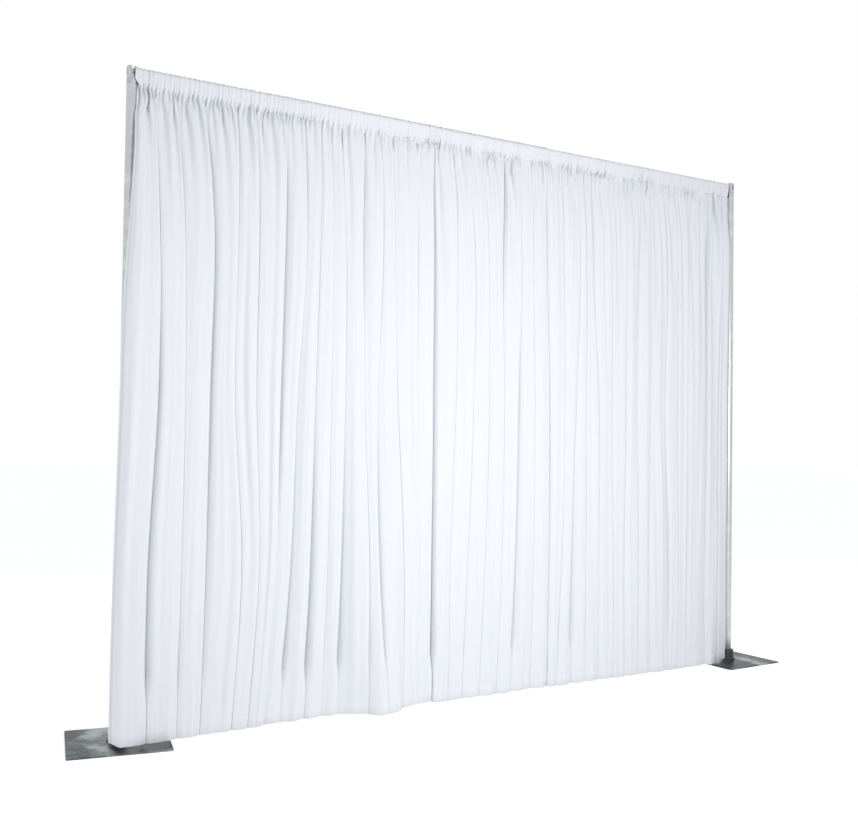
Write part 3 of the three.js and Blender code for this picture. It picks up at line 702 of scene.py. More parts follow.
def cross_rod(name: str, radius: float, centre: Point, reach: float) -> bpy.types.Object:
    """A rod across the crossbar, for cutting a pin hole."""
    bpy.ops.mesh.primitive_cylinder_add(
        vertices=24, radius=radius, depth=2 * reach, location=centre, rotation=(math.pi / 2, 0.0, 0.0)
    )
    return new_piece(name)


def block(name: str, low: Point, high: Point) -> bpy.types.Object:
    """A box between two corners, to be shaped or to cut with."""
    middle = [(a + b) / 2 for a, b in zip(low, high)]
    bpy.ops.mesh.primitive_cube_add(size=1.0, location=middle, scale=[b - a for a, b in zip(low, high)])
    return new_piece(name)


def dress(piece: bpy.types.Object, material: bpy.types.Material, body: str, node: str) -> None:
    """Gives a finished piece its material, its body and the node it stands for.

    Args:
        piece: The piece.
        material: Its only material.
        body: The body that it moves with.
        node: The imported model's node that it stands for.
    """
    piece.data.materials.clear()
    piece.data.materials.append(material)
    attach(piece, body)
    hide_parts(node)
    log.info("%s: %d faces on %s", piece.name, len(piece.data.polygons), body)


# Hardware


@dataclass
class Base:
    """A flat square plate with the collar that an upright's foot drops into."""

    side: Side
    turn: float
    steel: bpy.types.Material
    collar: bpy.types.Material
    plate_side: float = 0.3556
    plate_thickness: float = 0.0048
    corner: float = 0.006
    rim: float = 0.0006
    hub_radius: float = 0.032
    hub_height: float = 0.05
    hub_floor: float = 0.004
    flange_radius: float = 0.039
    flange_height: float = 0.005
    fillet: float = 0.005
    draft: float = 0.002
    lip: float = 0.003
    bore: float = 0.0195
    screw_bore: float = 0.0054
    head_bore: float = 0.0083
    head_cone: tuple[float, float] = (0.001, 0.0039)

    def build(self) -> None:
        """Builds and dresses both pieces."""
        body = self.side.node("base")
        dress(self._plate(), self.steel, body, self.side.node("base_plate"))
        dress(self._hub(), self.collar, body, self.side.node("base_hub"))

    def _plate(self) -> bpy.types.Object:
        """The plate, with rounded corners, eased rims and the countersink for its screw."""
        half, foot = self.plate_side / 2, self.side.foot
        low, high = (foot[0] - half, -half, 0.0), (foot[0] + half, half, self.plate_thickness)
        plate = block(self.side.node("steel_plate"), low, high)
        with editing(plate):
            choose(plate, Domain.EDGE, lambda at: abs(at.z - self.plate_thickness / 2) < 1e-5)
            bpy.ops.mesh.bevel(offset=self.corner, segments=5, affect="EDGES")
            choose(plate, Domain.FACE, lambda at: abs(at.x - foot[0]) + abs(at.y) < 1e-4)
            bpy.ops.mesh.inset(thickness=self.rim, depth=0.0)
            choose(plate, Domain.EDGE, lambda at: self._on_rim(at, half))
            bpy.ops.mesh.bevel(offset=self.rim * 0.8, segments=2, affect="EDGES")
            bpy.ops.mesh.select_all(action="SELECT")
            bpy.ops.transform.rotate(value=-self.turn, orient_axis="Z", center_override=foot)
        below, above = -CUT_PAST, 2 * self.plate_thickness
        countersink = [
            (0, below), (self.head_bore, below), (self.head_bore, self.head_cone[0]),
            (self.screw_bore, self.head_cone[1]), (self.screw_bore, above), (0, above),
        ]
        cut_by(plate, turned("countersink", countersink, foot, steps=40))
        shade(plate)
        return plate

    def _on_rim(self, at: Vector, half: float) -> bool:
        """True for an edge between the plate's side and its top or underside."""
        level = min(abs(at.z), abs(at.z - self.plate_thickness)) < 1e-5
        across, deep = abs(at.x - self.side.foot[0]), abs(at.y)
        cornered = across + deep > 2 * half - 2 * self.corner
        return level and (max(across, deep) > half - 1e-5 or cornered)

    def _hub(self) -> bpy.types.Object:
        """The collar, turned from its outline."""
        bottom = self.plate_thickness + SEAT_GAP
        top, shelf = bottom + self.hub_height, bottom + self.flange_height
        root = self.fillet * (1 - math.sqrt(0.5))
        outline = eased([
            (self.screw_bore, bottom), (self.flange_radius, bottom), (self.flange_radius, shelf),
            (self.hub_radius + self.fillet, shelf),
            (self.hub_radius + root, shelf + root),
            (self.hub_radius, shelf + self.fillet),
            (self.hub_radius - self.draft, top),
            (self.bore, top), (self.bore, bottom + self.hub_floor), (self.screw_bore, bottom + self.hub_floor),
        ], self.lip / 2)
        hub = turned(self.side.node("collar"), outline, self.side.foot, steps=96)
        shade(hub)
        return hub


@dataclass
class Upright:
    """An aluminium tube with a slotted crown in its top."""

    side: Side
    drawn: bpy.types.Material
    cast: bpy.types.Material
    radius: float = 0.01905
    wall: float = 0.00165
    foot: float = 0.0122
    shoulder: float = 2.374
    top: float = 2.438
    rim: float = 0.0015
    spigot: float = 0.042
    groove: float = 0.001
    groove_height: float = 0.004
    slot_width: float = 0.007
    slot_floor: float = 2.404
    flare: float = 0.0025
    well_radius: float = 0.0135
    well_floor: float = 2.382
    lead_in: float = 0.002
    edge_break: float = 0.00025

    def build(self) -> None:
        """Builds and dresses both pieces."""
        body = self.side.node("upright")
        dress(self._tube(), self.drawn, body, self.side.node("upright_tube"))
        dress(self._crown(), self.cast, body, self.side.node("upright_crown"))

    def _tube(self) -> bpy.types.Object:
        """The tube, with its cut ends eased."""
        bore, head = self.radius - self.wall, self.shoulder - SEAT_GAP
        corners = [(bore, self.foot), (self.radius, self.foot), (self.radius, head), (bore, head)]
        tube = turned(self.side.node("tube"), eased(corners, CUT_END_ROUND, 2), self.side.foot)
        shade(tube)
        return tube

    def _crown(self) -> bpy.types.Object:
        """The crown: turned, then slotted crosswise for hooks, with its edges broken."""
        spigot, bottom = self.radius - self.wall - PLUG_PLAY, self.shoulder - self.spigot
        line, rim_round = self.shoulder + self.groove_height, self.rim * 0.35
        outline = [
            (0, bottom), (spigot - self.lead_in, bottom), (spigot, bottom + self.lead_in), (spigot, self.shoulder),
            (self.radius, self.shoulder), (self.radius, line - self.groove),
            (self.radius - self.groove, line), (self.radius, line + self.groove),
            (self.radius, self.top - self.rim), (self.radius - rim_round, self.top - rim_round),
            (self.radius - self.rim, self.top),
            (self.well_radius + self.rim, self.top), (self.well_radius, self.top - self.rim),
            (self.well_radius, self.well_floor), (0, self.well_floor),
        ]
        crown = turned(self.side.node("crown"), outline, self.side.foot)
        cut_by(crown, *[self._slot(turn) for turn in (0.0, math.pi / 2)])
        soften_edges(crown, self.edge_break, segments=1, angle=50.0)
        shade(crown)
        return crown

    def _slot(self, turn: float) -> bpy.types.Object:
        """A cutter for one pair of slots, flared at the rim."""
        half, reach, foot = self.slot_width / 2, self.radius + CUT_PAST, self.side.foot
        low, high = (foot[0] - half, -reach, self.slot_floor), (foot[0] + half, reach, self.top + CUT_PAST)
        cutter = block("slot_cutter", low, high)
        lip = self.top - self.flare
        with editing(cutter):
            bpy.ops.mesh.select_all(action="SELECT")
            bpy.ops.mesh.bisect(plane_co=(0.0, 0.0, lip), plane_no=(0.0, 0.0, 1.0))
            choose(cutter, Domain.VERT, lambda at: at.z > lip + CUT_PAST / 2)
            widening = (half + self.flare + CUT_PAST) / half
            bpy.ops.transform.resize(value=(widening, 1.0, 1.0), center_override=foot)
            bpy.ops.mesh.select_all(action="SELECT")
            bpy.ops.transform.rotate(value=turn, orient_axis="Z", center_override=foot)
        return cutter


@dataclass
class Crossbar:
    """Two telescoping tubes with a plugged hook at each end."""

    drawn: bpy.types.Material
    plated: bpy.types.Material
    grey: bpy.types.Material
    nylon: bpy.types.Material
    axis_z: float = BAR_HEIGHT
    half: float = 1.494
    outer_radius: float = OUTER_BAR_RADIUS
    inner_radius: float = INNER_BAR_RADIUS
    wall: float = 0.0015
    mouth: float = 0.206
    inner_end: float = -0.034
    pin_places: tuple[float, float] = (0.014, 0.034)
    pin_hole: float = 0.0027
    pin_cut: float = 0.03
    bush_play: float = 0.0005
    bush_depth: float = 0.04
    bush_flange: float = 0.003
    bush_round: float = 0.001
    plug_flange: float = 0.003
    plug_depth: float = 0.054
    plug_round: float = 0.0012
    tang_slot: tuple[float, float] = (-0.0463, 0.005)
    tang_rise: float = 0.0078
    hook_thickness: float = 0.006
    hook_corner: float = 0.003
    hook_edge: float = 0.0005

    def build(self) -> None:
        """Builds and dresses the tubes, the bush, the plugs and the hooks."""
        outer = self._tube("outer_bar", self.outer_radius, -self.half, self.mouth, -self.half)
        inner = self._tube("inner_bar", self.inner_radius, self.inner_end, self.half, self.half)
        dress(outer, self.drawn, "crossbar_outer", "crossbar_outer_tube")
        dress(inner, self.drawn, "crossbar_inner", "crossbar_inner_tube")
        dress(self._bush(), self.nylon, "crossbar_outer", "crossbar_mouth_bush")
        ends = ((Side.LEFT, "crossbar_outer", self.outer_radius), (Side.RIGHT, "crossbar_inner", self.inner_radius))
        for side, body, radius in ends:
            dress(self._plug(side, radius), self.grey, body, side.node("end_plug"))
            dress(self._hook(side), self.plated, body, side.node("hook"))

    def _pin_cutters(self, end: float, inward: float) -> list[bpy.types.Object]:
        """Rods for the two pin holes near an end of the bar."""
        return [
            cross_rod("pin_cutter", self.pin_hole, (end + inward * place, 0.0, self.axis_z), self.pin_cut)
            for place in self.pin_places
        ]

    def _tube(self, name: str, radius: float, low: float, high: float, drilled: float) -> bpy.types.Object:
        """A bar tube.

        Args:
            name: Its name.
            radius: Its outer radius.
            low: The X of its left end.
            high: The X of its right end.
            drilled: The X of the end with the pin holes.

        Returns:
            The tube.
        """
        bore = radius - self.wall
        outline = eased([(bore, low), (radius, low), (radius, high), (bore, high)], CUT_END_ROUND, 2)
        tube = turned(name, outline, (0.0, 0.0, self.axis_z), Axis.BAR, 64)
        cut_by(tube, *self._pin_cutters(drilled, -math.copysign(1.0, drilled)))
        shade(tube)
        return tube

    def _bush(self) -> bpy.types.Object:
        """The nylon bush in the outer tube's mouth."""
        bore = self.inner_radius + self.bush_play
        sleeve = self.outer_radius - self.wall - PLUG_PLAY
        deep, start = self.mouth - self.bush_depth, self.mouth + SEAT_GAP
        outline = eased([
            (bore, deep), (sleeve, deep), (sleeve, start), (self.outer_radius, start),
            (self.outer_radius, start + self.bush_flange), (bore, start + self.bush_flange),
        ], self.bush_round)
        bush = turned("mouth_bush", outline, (0.0, 0.0, self.axis_z), Axis.BAR, 64)
        shade(bush)
        return bush

    def _plug(self, side: Side, radius: float) -> bpy.types.Object:
        """The end plug of a bar tube, slotted for the hook's tang."""
        out = side.value
        end = out * self.half
        inside = radius - self.wall - PLUG_PLAY
        seat, face, deep = out * SEAT_GAP, out * (SEAT_GAP + self.plug_flange), -out * self.plug_depth
        rounded = eased(
            [(0, face), (radius, face), (radius, seat), (inside, seat), (inside, deep), (0, deep)], self.plug_round
        )
        on_axis = self.plug_round / 2
        outline = [(place if place > on_axis else 0.0, along) for place, along in rounded]
        plug = turned(side.node("plug"), outline, (end, 0.0, self.axis_z), Axis.BAR, 64)
        reach, rise = self.hook_thickness / 2 + SEAT_GAP, self.tang_rise
        places = sorted(end + out * place for place in self.tang_slot)
        slot = block("tang_cutter", (places[0], -reach, self.axis_z - rise), (places[1], reach, self.axis_z + rise))
        cut_by(plug, slot, *self._pin_cutters(end, -out))
        shade(plug)
        return plug

    def _hook(self, side: Side) -> bpy.types.Object:
        """The hook: a pressed blade with a tongue for the crown's well and a tang in the plug."""
        inward, origin = -side.value, side.foot[0]
        neck, back, tip = -0.0127, 0.015, -0.03
        outer, inner, shoulder, tang, end = 0.0123, 0.0040, 0.0264, 0.0075, 0.076
        outline = eased([
            (inner, tip), (outer, tip), (outer, neck), (shoulder, neck), (shoulder, -tang), (end, -tang),
            (end, tang), (shoulder, tang), (shoulder, back), (inner, back),
        ], self.hook_corner, 4)
        corners = [(origin + inward * x, -self.hook_thickness / 2, self.axis_z + z) for x, z in outline]
        hook = pressed(side.node("hook_blade"), corners, (0.0, self.hook_thickness, 0.0))
        cut_by(hook, *self._pin_cutters(side.value * self.half, inward))
        soften_edges(hook, self.hook_edge, angle=60.0)
        shade(hook)
        return hook


# Drape


def smooth(value: np.ndarray, low: float = 0.0, high: float = 1.0) -> np.ndarray:
    """A smooth step from 0 at the low value to 1 at the high one."""
    share = np.clip((value - low) / (high - low), 0.0, 1.0)
    return share * share * (3 - 2 * share)


def between(ends: tuple[float, float], share: np.ndarray) -> np.ndarray:
    """The value at a share of the way from the first end to the second."""
    return ends[0] + (ends[1] - ends[0]) * share


def near(distance: np.ndarray, reach: float) -> np.ndarray:
    """A bell curve: 1 at no distance, and little left at twice the reach."""
    return np.exp(-((distance / reach) ** 2))


@dataclass(frozen=True)
class Crease:
    """A crease of the cloth where it folds to the back, given at Drape.levels from the stitch line down."""

    places_mm: tuple[float, float, float, float, float]
    tightness: tuple[float, float, float, float, float]


@dataclass(frozen=True)
class Pocket:
    """The rod pocket: its way round the bar, the flap behind it and how its gathers stand."""

    clearance: float = 0.0008
    feet: tuple[float, float] = (-0.0004, 0.0016)
    swell: float = 0.003
    sides: tuple[float, float] = (0.06, 0.92)
    side_rows: int = 8
    round_rows: int = 22
    hug: float = 0.7
    flap: float = 0.009
    flap_lean: float = 0.0004
    flap_rows: int = 3
    start_run: float = 0.004
    turning: tuple[float, float] = (0.55, 0.9)
    flattened: float = 0.86
    flattened_by: float = 0.4
    standing_by: float = 0.5
    swing: float = 0.4
    swings: int = 17
    end_reach: float = 0.005
    end_lift: float = 0.6
    crown_reach: float = 0.02
    crown_front: tuple[float, float] = (0.007, 0.013)
    crown_shift: tuple[float, float] = (0.016, 0.0045)

    def section(self, bar: float, bar_z: float, stitch_z: float) -> tuple[np.ndarray, np.ndarray, np.ndarray]:
        """The pocket's cross section.

        Args:
            bar: The bar's radius.
            bar_z: The height of its axis.
            stitch_z: The height of the stitch line.

        Returns:
            Its (y, z) points, the way out at each, and the length run from the stitch line.
        """
        radius = bar + self.clearance
        start = math.asin(radius / (bar_z - stitch_z)) * self.hug
        arc = np.linspace(math.pi + start, -start, self.round_rows)
        round_bar = np.stack([radius * np.cos(arc), bar_z + radius * np.sin(arc)], 1)
        front, back = (np.array([foot, stitch_z]) for foot in self.feet)
        shares = np.linspace(*self.sides, self.side_rows)[:, None]
        swell = np.hstack([self.swell * np.sin(np.pi * shares), 0 * shares])
        up = front * (1 - shares) + round_bar[0] * shares - swell
        down = round_bar[-1] * (1 - shares) + back * shares + swell
        flap = back + np.linspace(0, 1, self.flap_rows)[:, None] * (self.flap_lean, -self.flap)
        section = np.concatenate([up, round_bar, down, flap])
        along = np.gradient(section, axis=0)
        outward = np.stack([-along[:, 1], along[:, 0]], 1)
        outward /= np.linalg.norm(outward, axis=1, keepdims=True)
        outward[-len(flap) :] = (1.0, 0.0)
        lengths = np.linalg.norm(np.diff(section, axis=0), axis=1)
        return section, outward, self.start_run + np.concatenate([[0], np.cumsum(lengths)])


@dataclass(frozen=True)
class Drape:
    """What all five panels share: the flat cloth and how the bay's cloth hangs.

    A drop is a share of the way from the stitch line down to the hem. Other lengths are in metres.
    """

    levels: tuple[float, ...] = (0.0, 0.2, 0.47, 0.75, 1.0)
    bay: float = 2 * UPRIGHT_X
    flat_width: float = 1.219
    cloth: float = 0.0007
    pocket: Pocket = Pocket()
    bar_z: float = BAR_HEIGHT
    outer_panels: int = 3
    stitch_z: float = 2.3629
    # Edges
    edge_setbacks: tuple[float, float] = (0.0225, 0.028)
    edge_tightness: tuple[float, float] = (0.6, 0.5)
    edge_curl: float = 0.75
    edge_curl_end: float = 0.3
    left_overhang: float = 0.07
    left_flares: tuple[float, float, float] = (0.0, 0.4, 0.2)
    left_flare_share: float = 0.62
    left_start: float = 0.013
    left_start_drops: tuple[float, float] = (0.012, 0.047)
    left_wrap: float = 0.062
    left_wrap_reach: float = 0.24
    left_wrap_end: float = 0.35
    over_tube: tuple[float, float] = (0.0125, 0.045)
    over_tube_drops: tuple[float, float, float] = (0.035, 0.06, 0.26)
    right_setback: float = 0.042
    right_return: float = 0.19
    right_forward: float = 0.008
    right_calm: float = 0.6
    right_calm_end: float = 0.25
    # Fronts
    hem_forward: tuple[float, float] = (0.08, 0.056)
    pushed_x: float = -0.51816
    pushed_forward: float = 0.078
    pushed_reach: float = 0.11
    squareness: float = 1.15
    squareness_spread: tuple[float, float] = (-0.1, 0.5)
    wide_squareness: float = 2.0
    wide_folds: tuple[float, float] = (0.045, 0.145)
    hem_squareness: float = 1.4
    hem_squaring: tuple[float, float] = (0.93, 0.98)
    level_end: float = 0.12
    # Creases
    seam_gap: float = 0.0003
    seam_tightness: float = 0.5
    crease_tightness: float = 0.22
    opening: float = 1.0
    opening_drops: tuple[float, float] = (0.8, 0.94)
    fading_drops: tuple[float, float] = (0.9, 0.975)
    steepest: float = 1.8
    sharpness: int = 16
    # Gathers and ripples
    gather_pitch: float = 0.0155
    gather_limit: float = 1.35
    gather_sway: float = 0.16
    gather_slope: float = 1.3
    gather_runs: tuple[float, float] = (0.05, 0.13)
    gather_strengths: tuple[float, float] = (0.7, 1.3)
    gather_fade: float = 1.4
    pair_start: float = 0.07
    long_pairs: tuple[float, float] = (0.75, 1.25)
    pair_slopes: tuple[float, float] = (0.8, 1.1)
    pair_runs: tuple[tuple[float, float], tuple[float, float]] = ((0.14, 0.5), (0.44, 1.0))
    ripples: tuple[tuple[float, float], ...] = ((0.13, 0.14), (0.07, 0.3), (0.04, 0.3), (0.024, 0.16))
    ripple_paces: tuple[float, float] = (0.5, 1.6)
    ripple_change: float = 0.4
    ripple_drift: float = 0.8
    ripple_rounding: float = 0.8
    ripple_start: float = 0.3
    ripple_end: float = 0.15
    # Hem
    hem_z: float = 0.0105
    hem_lift: float = 0.005
    hem_turn: float = 0.05
    hem_turn_foot: float = 0.002
    hem_roll: float = 0.0008
    hem_half_round: float = 0.0006
    hem_gap: float = 0.0013
    hem_lean: float = 0.4
    hem_start: float = 0.95
    hem_wave: float = 0.002
    hem_wave_start: float = 0.75
    hem_pitches: tuple[float, ...] = (0.19, 0.31, 0.47)
    pucker_pitch: float = 0.03
    pucker_slopes: tuple[float, float] = (0.1, 0.3)
    left_lift: float = 0.014
    left_lift_reach: float = 0.36
    left_lift_start: float = 0.8
    corner_lift: float = 0.016
    corner_lift_reach: float = 0.04
    corner_lift_start: float = 0.9

    @property
    def drop(self) -> float:
        """The length of cloth from the stitch line to the hem."""
        return self.stitch_z - self.hem_z

    def bar_radius(self, panel: int) -> float:
        """The radius of the crossbar's tube inside a panel's pocket."""
        return OUTER_BAR_RADIUS if panel <= self.outer_panels else INNER_BAR_RADIUS

    def left_edge(self, drop: np.ndarray) -> np.ndarray:
        """X of the drape's left edge."""
        start, end, later = self.left_flares
        crossed = between((smooth(drop, later), smooth(drop, start, end)), self.left_flare_share)
        drawn = self.left_start * smooth(drop, *self.left_start_drops) * (1 - crossed)
        return -self.bay / 2 + self.edge_setbacks[0] - drawn - (self.edge_setbacks[0] + self.left_overhang) * crossed

    def right_edge(self, drop: np.ndarray) -> np.ndarray:
        """X of the drape's right edge."""
        return self.bay / 2 - between((self.edge_setbacks[1], self.right_setback), drop)

    def returning(self, x: np.ndarray) -> np.ndarray:
        """How far along the last stretch, which goes back to the right upright, a place lies."""
        end = self.bay / 2 - self.edge_setbacks[1]
        return smooth(x, end - self.right_return, end)

    def forward(self, x: np.ndarray, drop: np.ndarray) -> np.ndarray:
        """Mean distance of the cloth in front of the bar."""
        level = between(self.hem_forward, np.clip(x / self.bay + 0.5, 0, 1)) * drop
        pushed = self.pushed_forward * near(x - self.pushed_x, self.pushed_reach) * drop**3
        from_left = x - self.left_edge(drop)
        wrapped = self.left_wrap * smooth(drop, 0.0, self.left_wrap_end) * near(from_left, self.left_wrap_reach)
        full, start, end = self.over_tube_drops
        passing = smooth(drop, 0.0, full) * (1 - smooth(drop, start, end))
        wrapped = wrapped + self.over_tube[0] * passing * near(from_left, self.over_tube[1])
        share_back = self.returning(x)
        return (level + pushed + wrapped) * (1 - share_back) + self.right_forward * drop * share_back


@dataclass(frozen=True)
class Pleat:
    """The plan of one fold: out of the crease behind, along a wall, over a rounded front and back.

    Its columns are counted out to a bend in the crease, a wall, a flank, the front, and the same back to the
    next bend. A crease is a hairpin: the walls behind it nearly touch, and the flanks in front of them make a
    groove. The tighter the crease, the wider and the steeper its groove.
    """

    front_columns: int = 30
    bend_columns: int = 2
    wall_columns: int = 2
    flank_columns: int = 1
    crowding: float = 0.35
    wall: float = 0.025
    steepness: float = 1.63
    gaps: tuple[float, float] = (0.0001, 0.0007)
    grooves: tuple[float, float] = (0.0001, 0.0095)
    leans: tuple[float, float] = (0.16, 0.67)
    starts: tuple[float, float] = (0.16, 0.04)
    steep_by: float = 0.4
    closing_from: float = 0.15
    groove_from: float = 0.25
    leaning: tuple[float, float] = (0.1, 0.95)
    slack: float = 0.02

    @property
    def columns(self) -> int:
        """Columns in the whole fold."""
        return 2 * self.lead + self.front_columns

    @property
    def lead(self) -> int:
        """Columns before the front, and after it."""
        return self.bend_columns + self.wall_columns + self.flank_columns

    def front_edges(self) -> np.ndarray:
        """Places of the front's column edges across it, closer together at its shoulders."""
        steps = np.linspace(0, 1, self.front_columns + 1)
        return steps - self.crowding * np.sin(2 * np.pi * steps) / (2 * np.pi)

    def on_front(self) -> np.ndarray:
        """Where each column is across the front, from 0 to 1 with the walls beyond."""
        edges = self.front_edges()
        return np.concatenate([np.zeros(self.lead), (edges[1:] + edges[:-1]) / 2, np.ones(self.lead)])

    def turn(self, squareness: np.ndarray) -> np.ndarray:
        """The share of the creases' slope that each column has, below 0 before the front's middle.

        Args:
            squareness: How flat the front is between its shoulders, by row and fold.

        Returns:
            The shares by row, fold and column.
        """
        across = 2 * self.on_front() - 1
        course = np.sign(across) * np.abs(across) ** squareness[:, :, None]
        bend = (np.arange(self.bend_columns) + 0.5) / self.bend_columns
        behind = np.concatenate([bend, np.ones(self.wall_columns)])
        course[:, :, : len(behind)] = -behind
        course[:, :, -len(behind) :] = behind[::-1]
        return course

    def groove(self, seen: np.ndarray) -> np.ndarray:
        """The width of a crease's groove, by its tightness."""
        return between(self.grooves, smooth(seen, self.groove_from))

    def lean(self, seen: np.ndarray) -> np.ndarray:
        """What share of a crease's slope the cloth in front of it has, by tightness, on a last axis of columns."""
        behind = np.zeros(self.columns)
        reach = self.bend_columns + self.wall_columns
        behind[:reach] = behind[-reach:] = 1.0
        share = between(self.leans, smooth(seen, *self.leaning))
        return share[:, :, None] * (1 - behind) + behind

    def slope(self, grown: np.ndarray) -> np.ndarray:
        """The slope of a crease's sides, by its growth."""
        return self.steepness * smooth(grown, 0.0, self.steep_by) ** 0.5

    def formed(self, grown: np.ndarray) -> np.ndarray:
        """How much of a crease's hairpin has formed, by its growth."""
        return smooth(grown, self.closing_from)

    def lengths_behind(
        self, seen: np.ndarray, opening: np.ndarray, formed: np.ndarray, deepening: np.ndarray
    ) -> np.ndarray:
        """Lengths of the columns behind the front on one side of a fold.

        Args:
            seen: The creases' tightness, as far as it shows in front.
            opening: How much wider the grooves are, as a factor.
            formed: How much of the hairpins has formed.
            deepening: How deep the folds are, as a factor.

        Returns:
            The lengths from the crease outwards, on a new last axis.
        """
        wall = self.wall * formed * deepening
        course = self.steepness * (np.arange(self.bend_columns) + 0.5) / self.bend_columns
        gap = between(self.gaps, seen) * formed
        bend = (gap / 2 - wall * math.cos(self.steepness)) / np.cos(course).mean()
        groove = self.groove(seen) * opening * formed
        flank = groove / 2 / np.cos(self.steepness * self.lean(seen)[:, :, self.lead])
        parts = ((bend, self.bend_columns), (wall, self.wall_columns), (flank, self.flank_columns))
        return np.stack([length / count for length, count in parts for _ in range(count)], -1)


@dataclass(frozen=True)
class Folds:
    """One panel's folds at every height, before their depth is known.

    Arrays about creases go by row and crease, and those about columns by row, fold and column.

    Attributes:
        places: X of the creases.
        seen: The creases' tightness, as far as it shows in front.
        opening: How much wider all grooves of a row are, as a factor.
        formed: How much of the creases' hairpins has formed.
        slope: The slope of the creases' sides, in radians.
        lean: What share of that slope each column beside the crease has, on a last axis.
        turns: What share of it the columns' places in their fold give them.
        gathers: The slopes of the gathers at the columns.
        ripples: The slopes of the ripples there.
    """

    places: np.ndarray
    seen: np.ndarray
    opening: np.ndarray
    formed: np.ndarray
    slope: np.ndarray
    lean: np.ndarray
    turns: np.ndarray
    gathers: np.ndarray
    ripples: np.ndarray


SEAMS = (
    Crease((-923, -921, -939, -962, -1011), (0.8, 1.0, 1.0, 0.5, 0.6)),
    Crease((-247, -245, -251, -261, -267), (1.0, 1.0, 1.0, 1.0, 1.0)),
    Crease((346, 346, 352, 341, 321), (0.9, 0.7, 0.4, 0.3, 0.3)),
    Crease((915, 889, 873, 867, 855), (0.8, 0.8, 0.6, 0.5, 0.7)),
)

CREASES = (
    (
        Crease((-1436, -1429, -1425, -1458, -1461), (0.3, 0.3, 0.9, 1.0, 0.8)),
        Crease((-1355, -1332, -1325, -1333, -1347), (0.5, 0.3, 0.4, 0.4, 0.8)),
        Crease((-1249, -1213, -1222, -1234, -1258), (0.6, 0.7, 0.9, 0.7, 0.4)),
        Crease((-1122, -1120, -1131, -1101, -1136), (0.4, 0.4, 0.3, 0.25, 0.3)),
        Crease((-1045, -1037, -1046, -1031, -1073), (0.5, 0.25, 0.2, 0.25, 0.4)),
    ),
    (
        Crease((-841, -833, -869, -893, -941), (0.7, 0.4, 0.6, 0.8, 1.0)),
        Crease((-769, -778, -795, -809, -839), (0.8, 0.2, 0.5, 1.0, 1.0)),
        Crease((-727, -723, -729, -742, -768), (0.3, 0.1, 0.15, 0.4, 0.5)),
        Crease((-682, -662, -664, -676, -700), (0.3, 0.2, 0.5, 0.9, 0.9)),
        Crease((-575, -581, -583, -571, -585), (0.6, 0.7, 0.2, 0.3, 0.8)),
        Crease((-501, -496, -521, -521, -507), (0.1, 0.15, 0.5, 0.9, 0.5)),
        Crease((-445, -441, -431, -407, -416), (0.6, 0.2, 0.1, 0.15, 0.2)),
        Crease((-329, -333, -337, -331, -341), (0.6, 0.15, 0.15, 0.15, 0.25)),
    ),
    (
        Crease((-151, -141, -151, -183, -196), (0.3, 0.15, 0.1, 0.2, 0.2)),
        Crease((-86, -46, -60, -94, -128), (0.4, 0.5, 0.3, 0.35, 0.6)),
        Crease((2, 19, 20, -3, -42), (0.3, 0.2, 0.35, 0.4, 0.5)),
        Crease((117, 101, 98, 83, 49), (1.0, 0.7, 0.2, 0.1, 0.1)),
        Crease((181, 198, 183, 163, 128), (0.3, 0.2, 0.9, 1.0, 0.8)),
        Crease((266, 259, 265, 253, 231), (0.3, 0.25, 0.1, 0.1, 0.15)),
    ),
    (
        Crease((438, 438, 429, 410, 374), (0.9, 0.5, 0.2, 0.3, 0.9)),
        Crease((529, 527, 498, 474, 456), (0.15, 0.15, 0.4, 0.9, 0.8)),
        Crease((562, 563, 557, 545, 531), (0.1, 0.1, 0.1, 0.1, 0.5)),
        Crease((603, 608, 628, 620, 616), (1.0, 0.7, 0.2, 0.2, 0.25)),
        Crease((717, 715, 710, 705, 699), (0.5, 0.3, 0.1, 0.15, 0.35)),
        Crease((806, 805, 795, 778, 769), (0.2, 0.1, 0.15, 0.5, 0.3)),
    ),
    (
        Crease((979, 971, 954, 934, 927), (0.4, 0.3, 0.15, 0.3, 0.4)),
        Crease((1060, 1076, 1050, 1062, 1043), (0.6, 0.5, 0.4, 0.8, 0.5)),
        Crease((1133, 1139, 1124, 1119, 1101), (0.5, 0.1, 0.1, 0.1, 0.1)),
        Crease((1208, 1204, 1198, 1180, 1160), (0.7, 0.9, 0.7, 0.8, 0.5)),
        Crease((1357, 1343, 1329, 1307, 1296), (0.5, 0.9, 0.8, 0.7, 0.8)),
        Crease((1431, 1429, 1413, 1413, 1399), (0.4, 0.3, 0.3, 0.5, 0.3)),
    ),
)


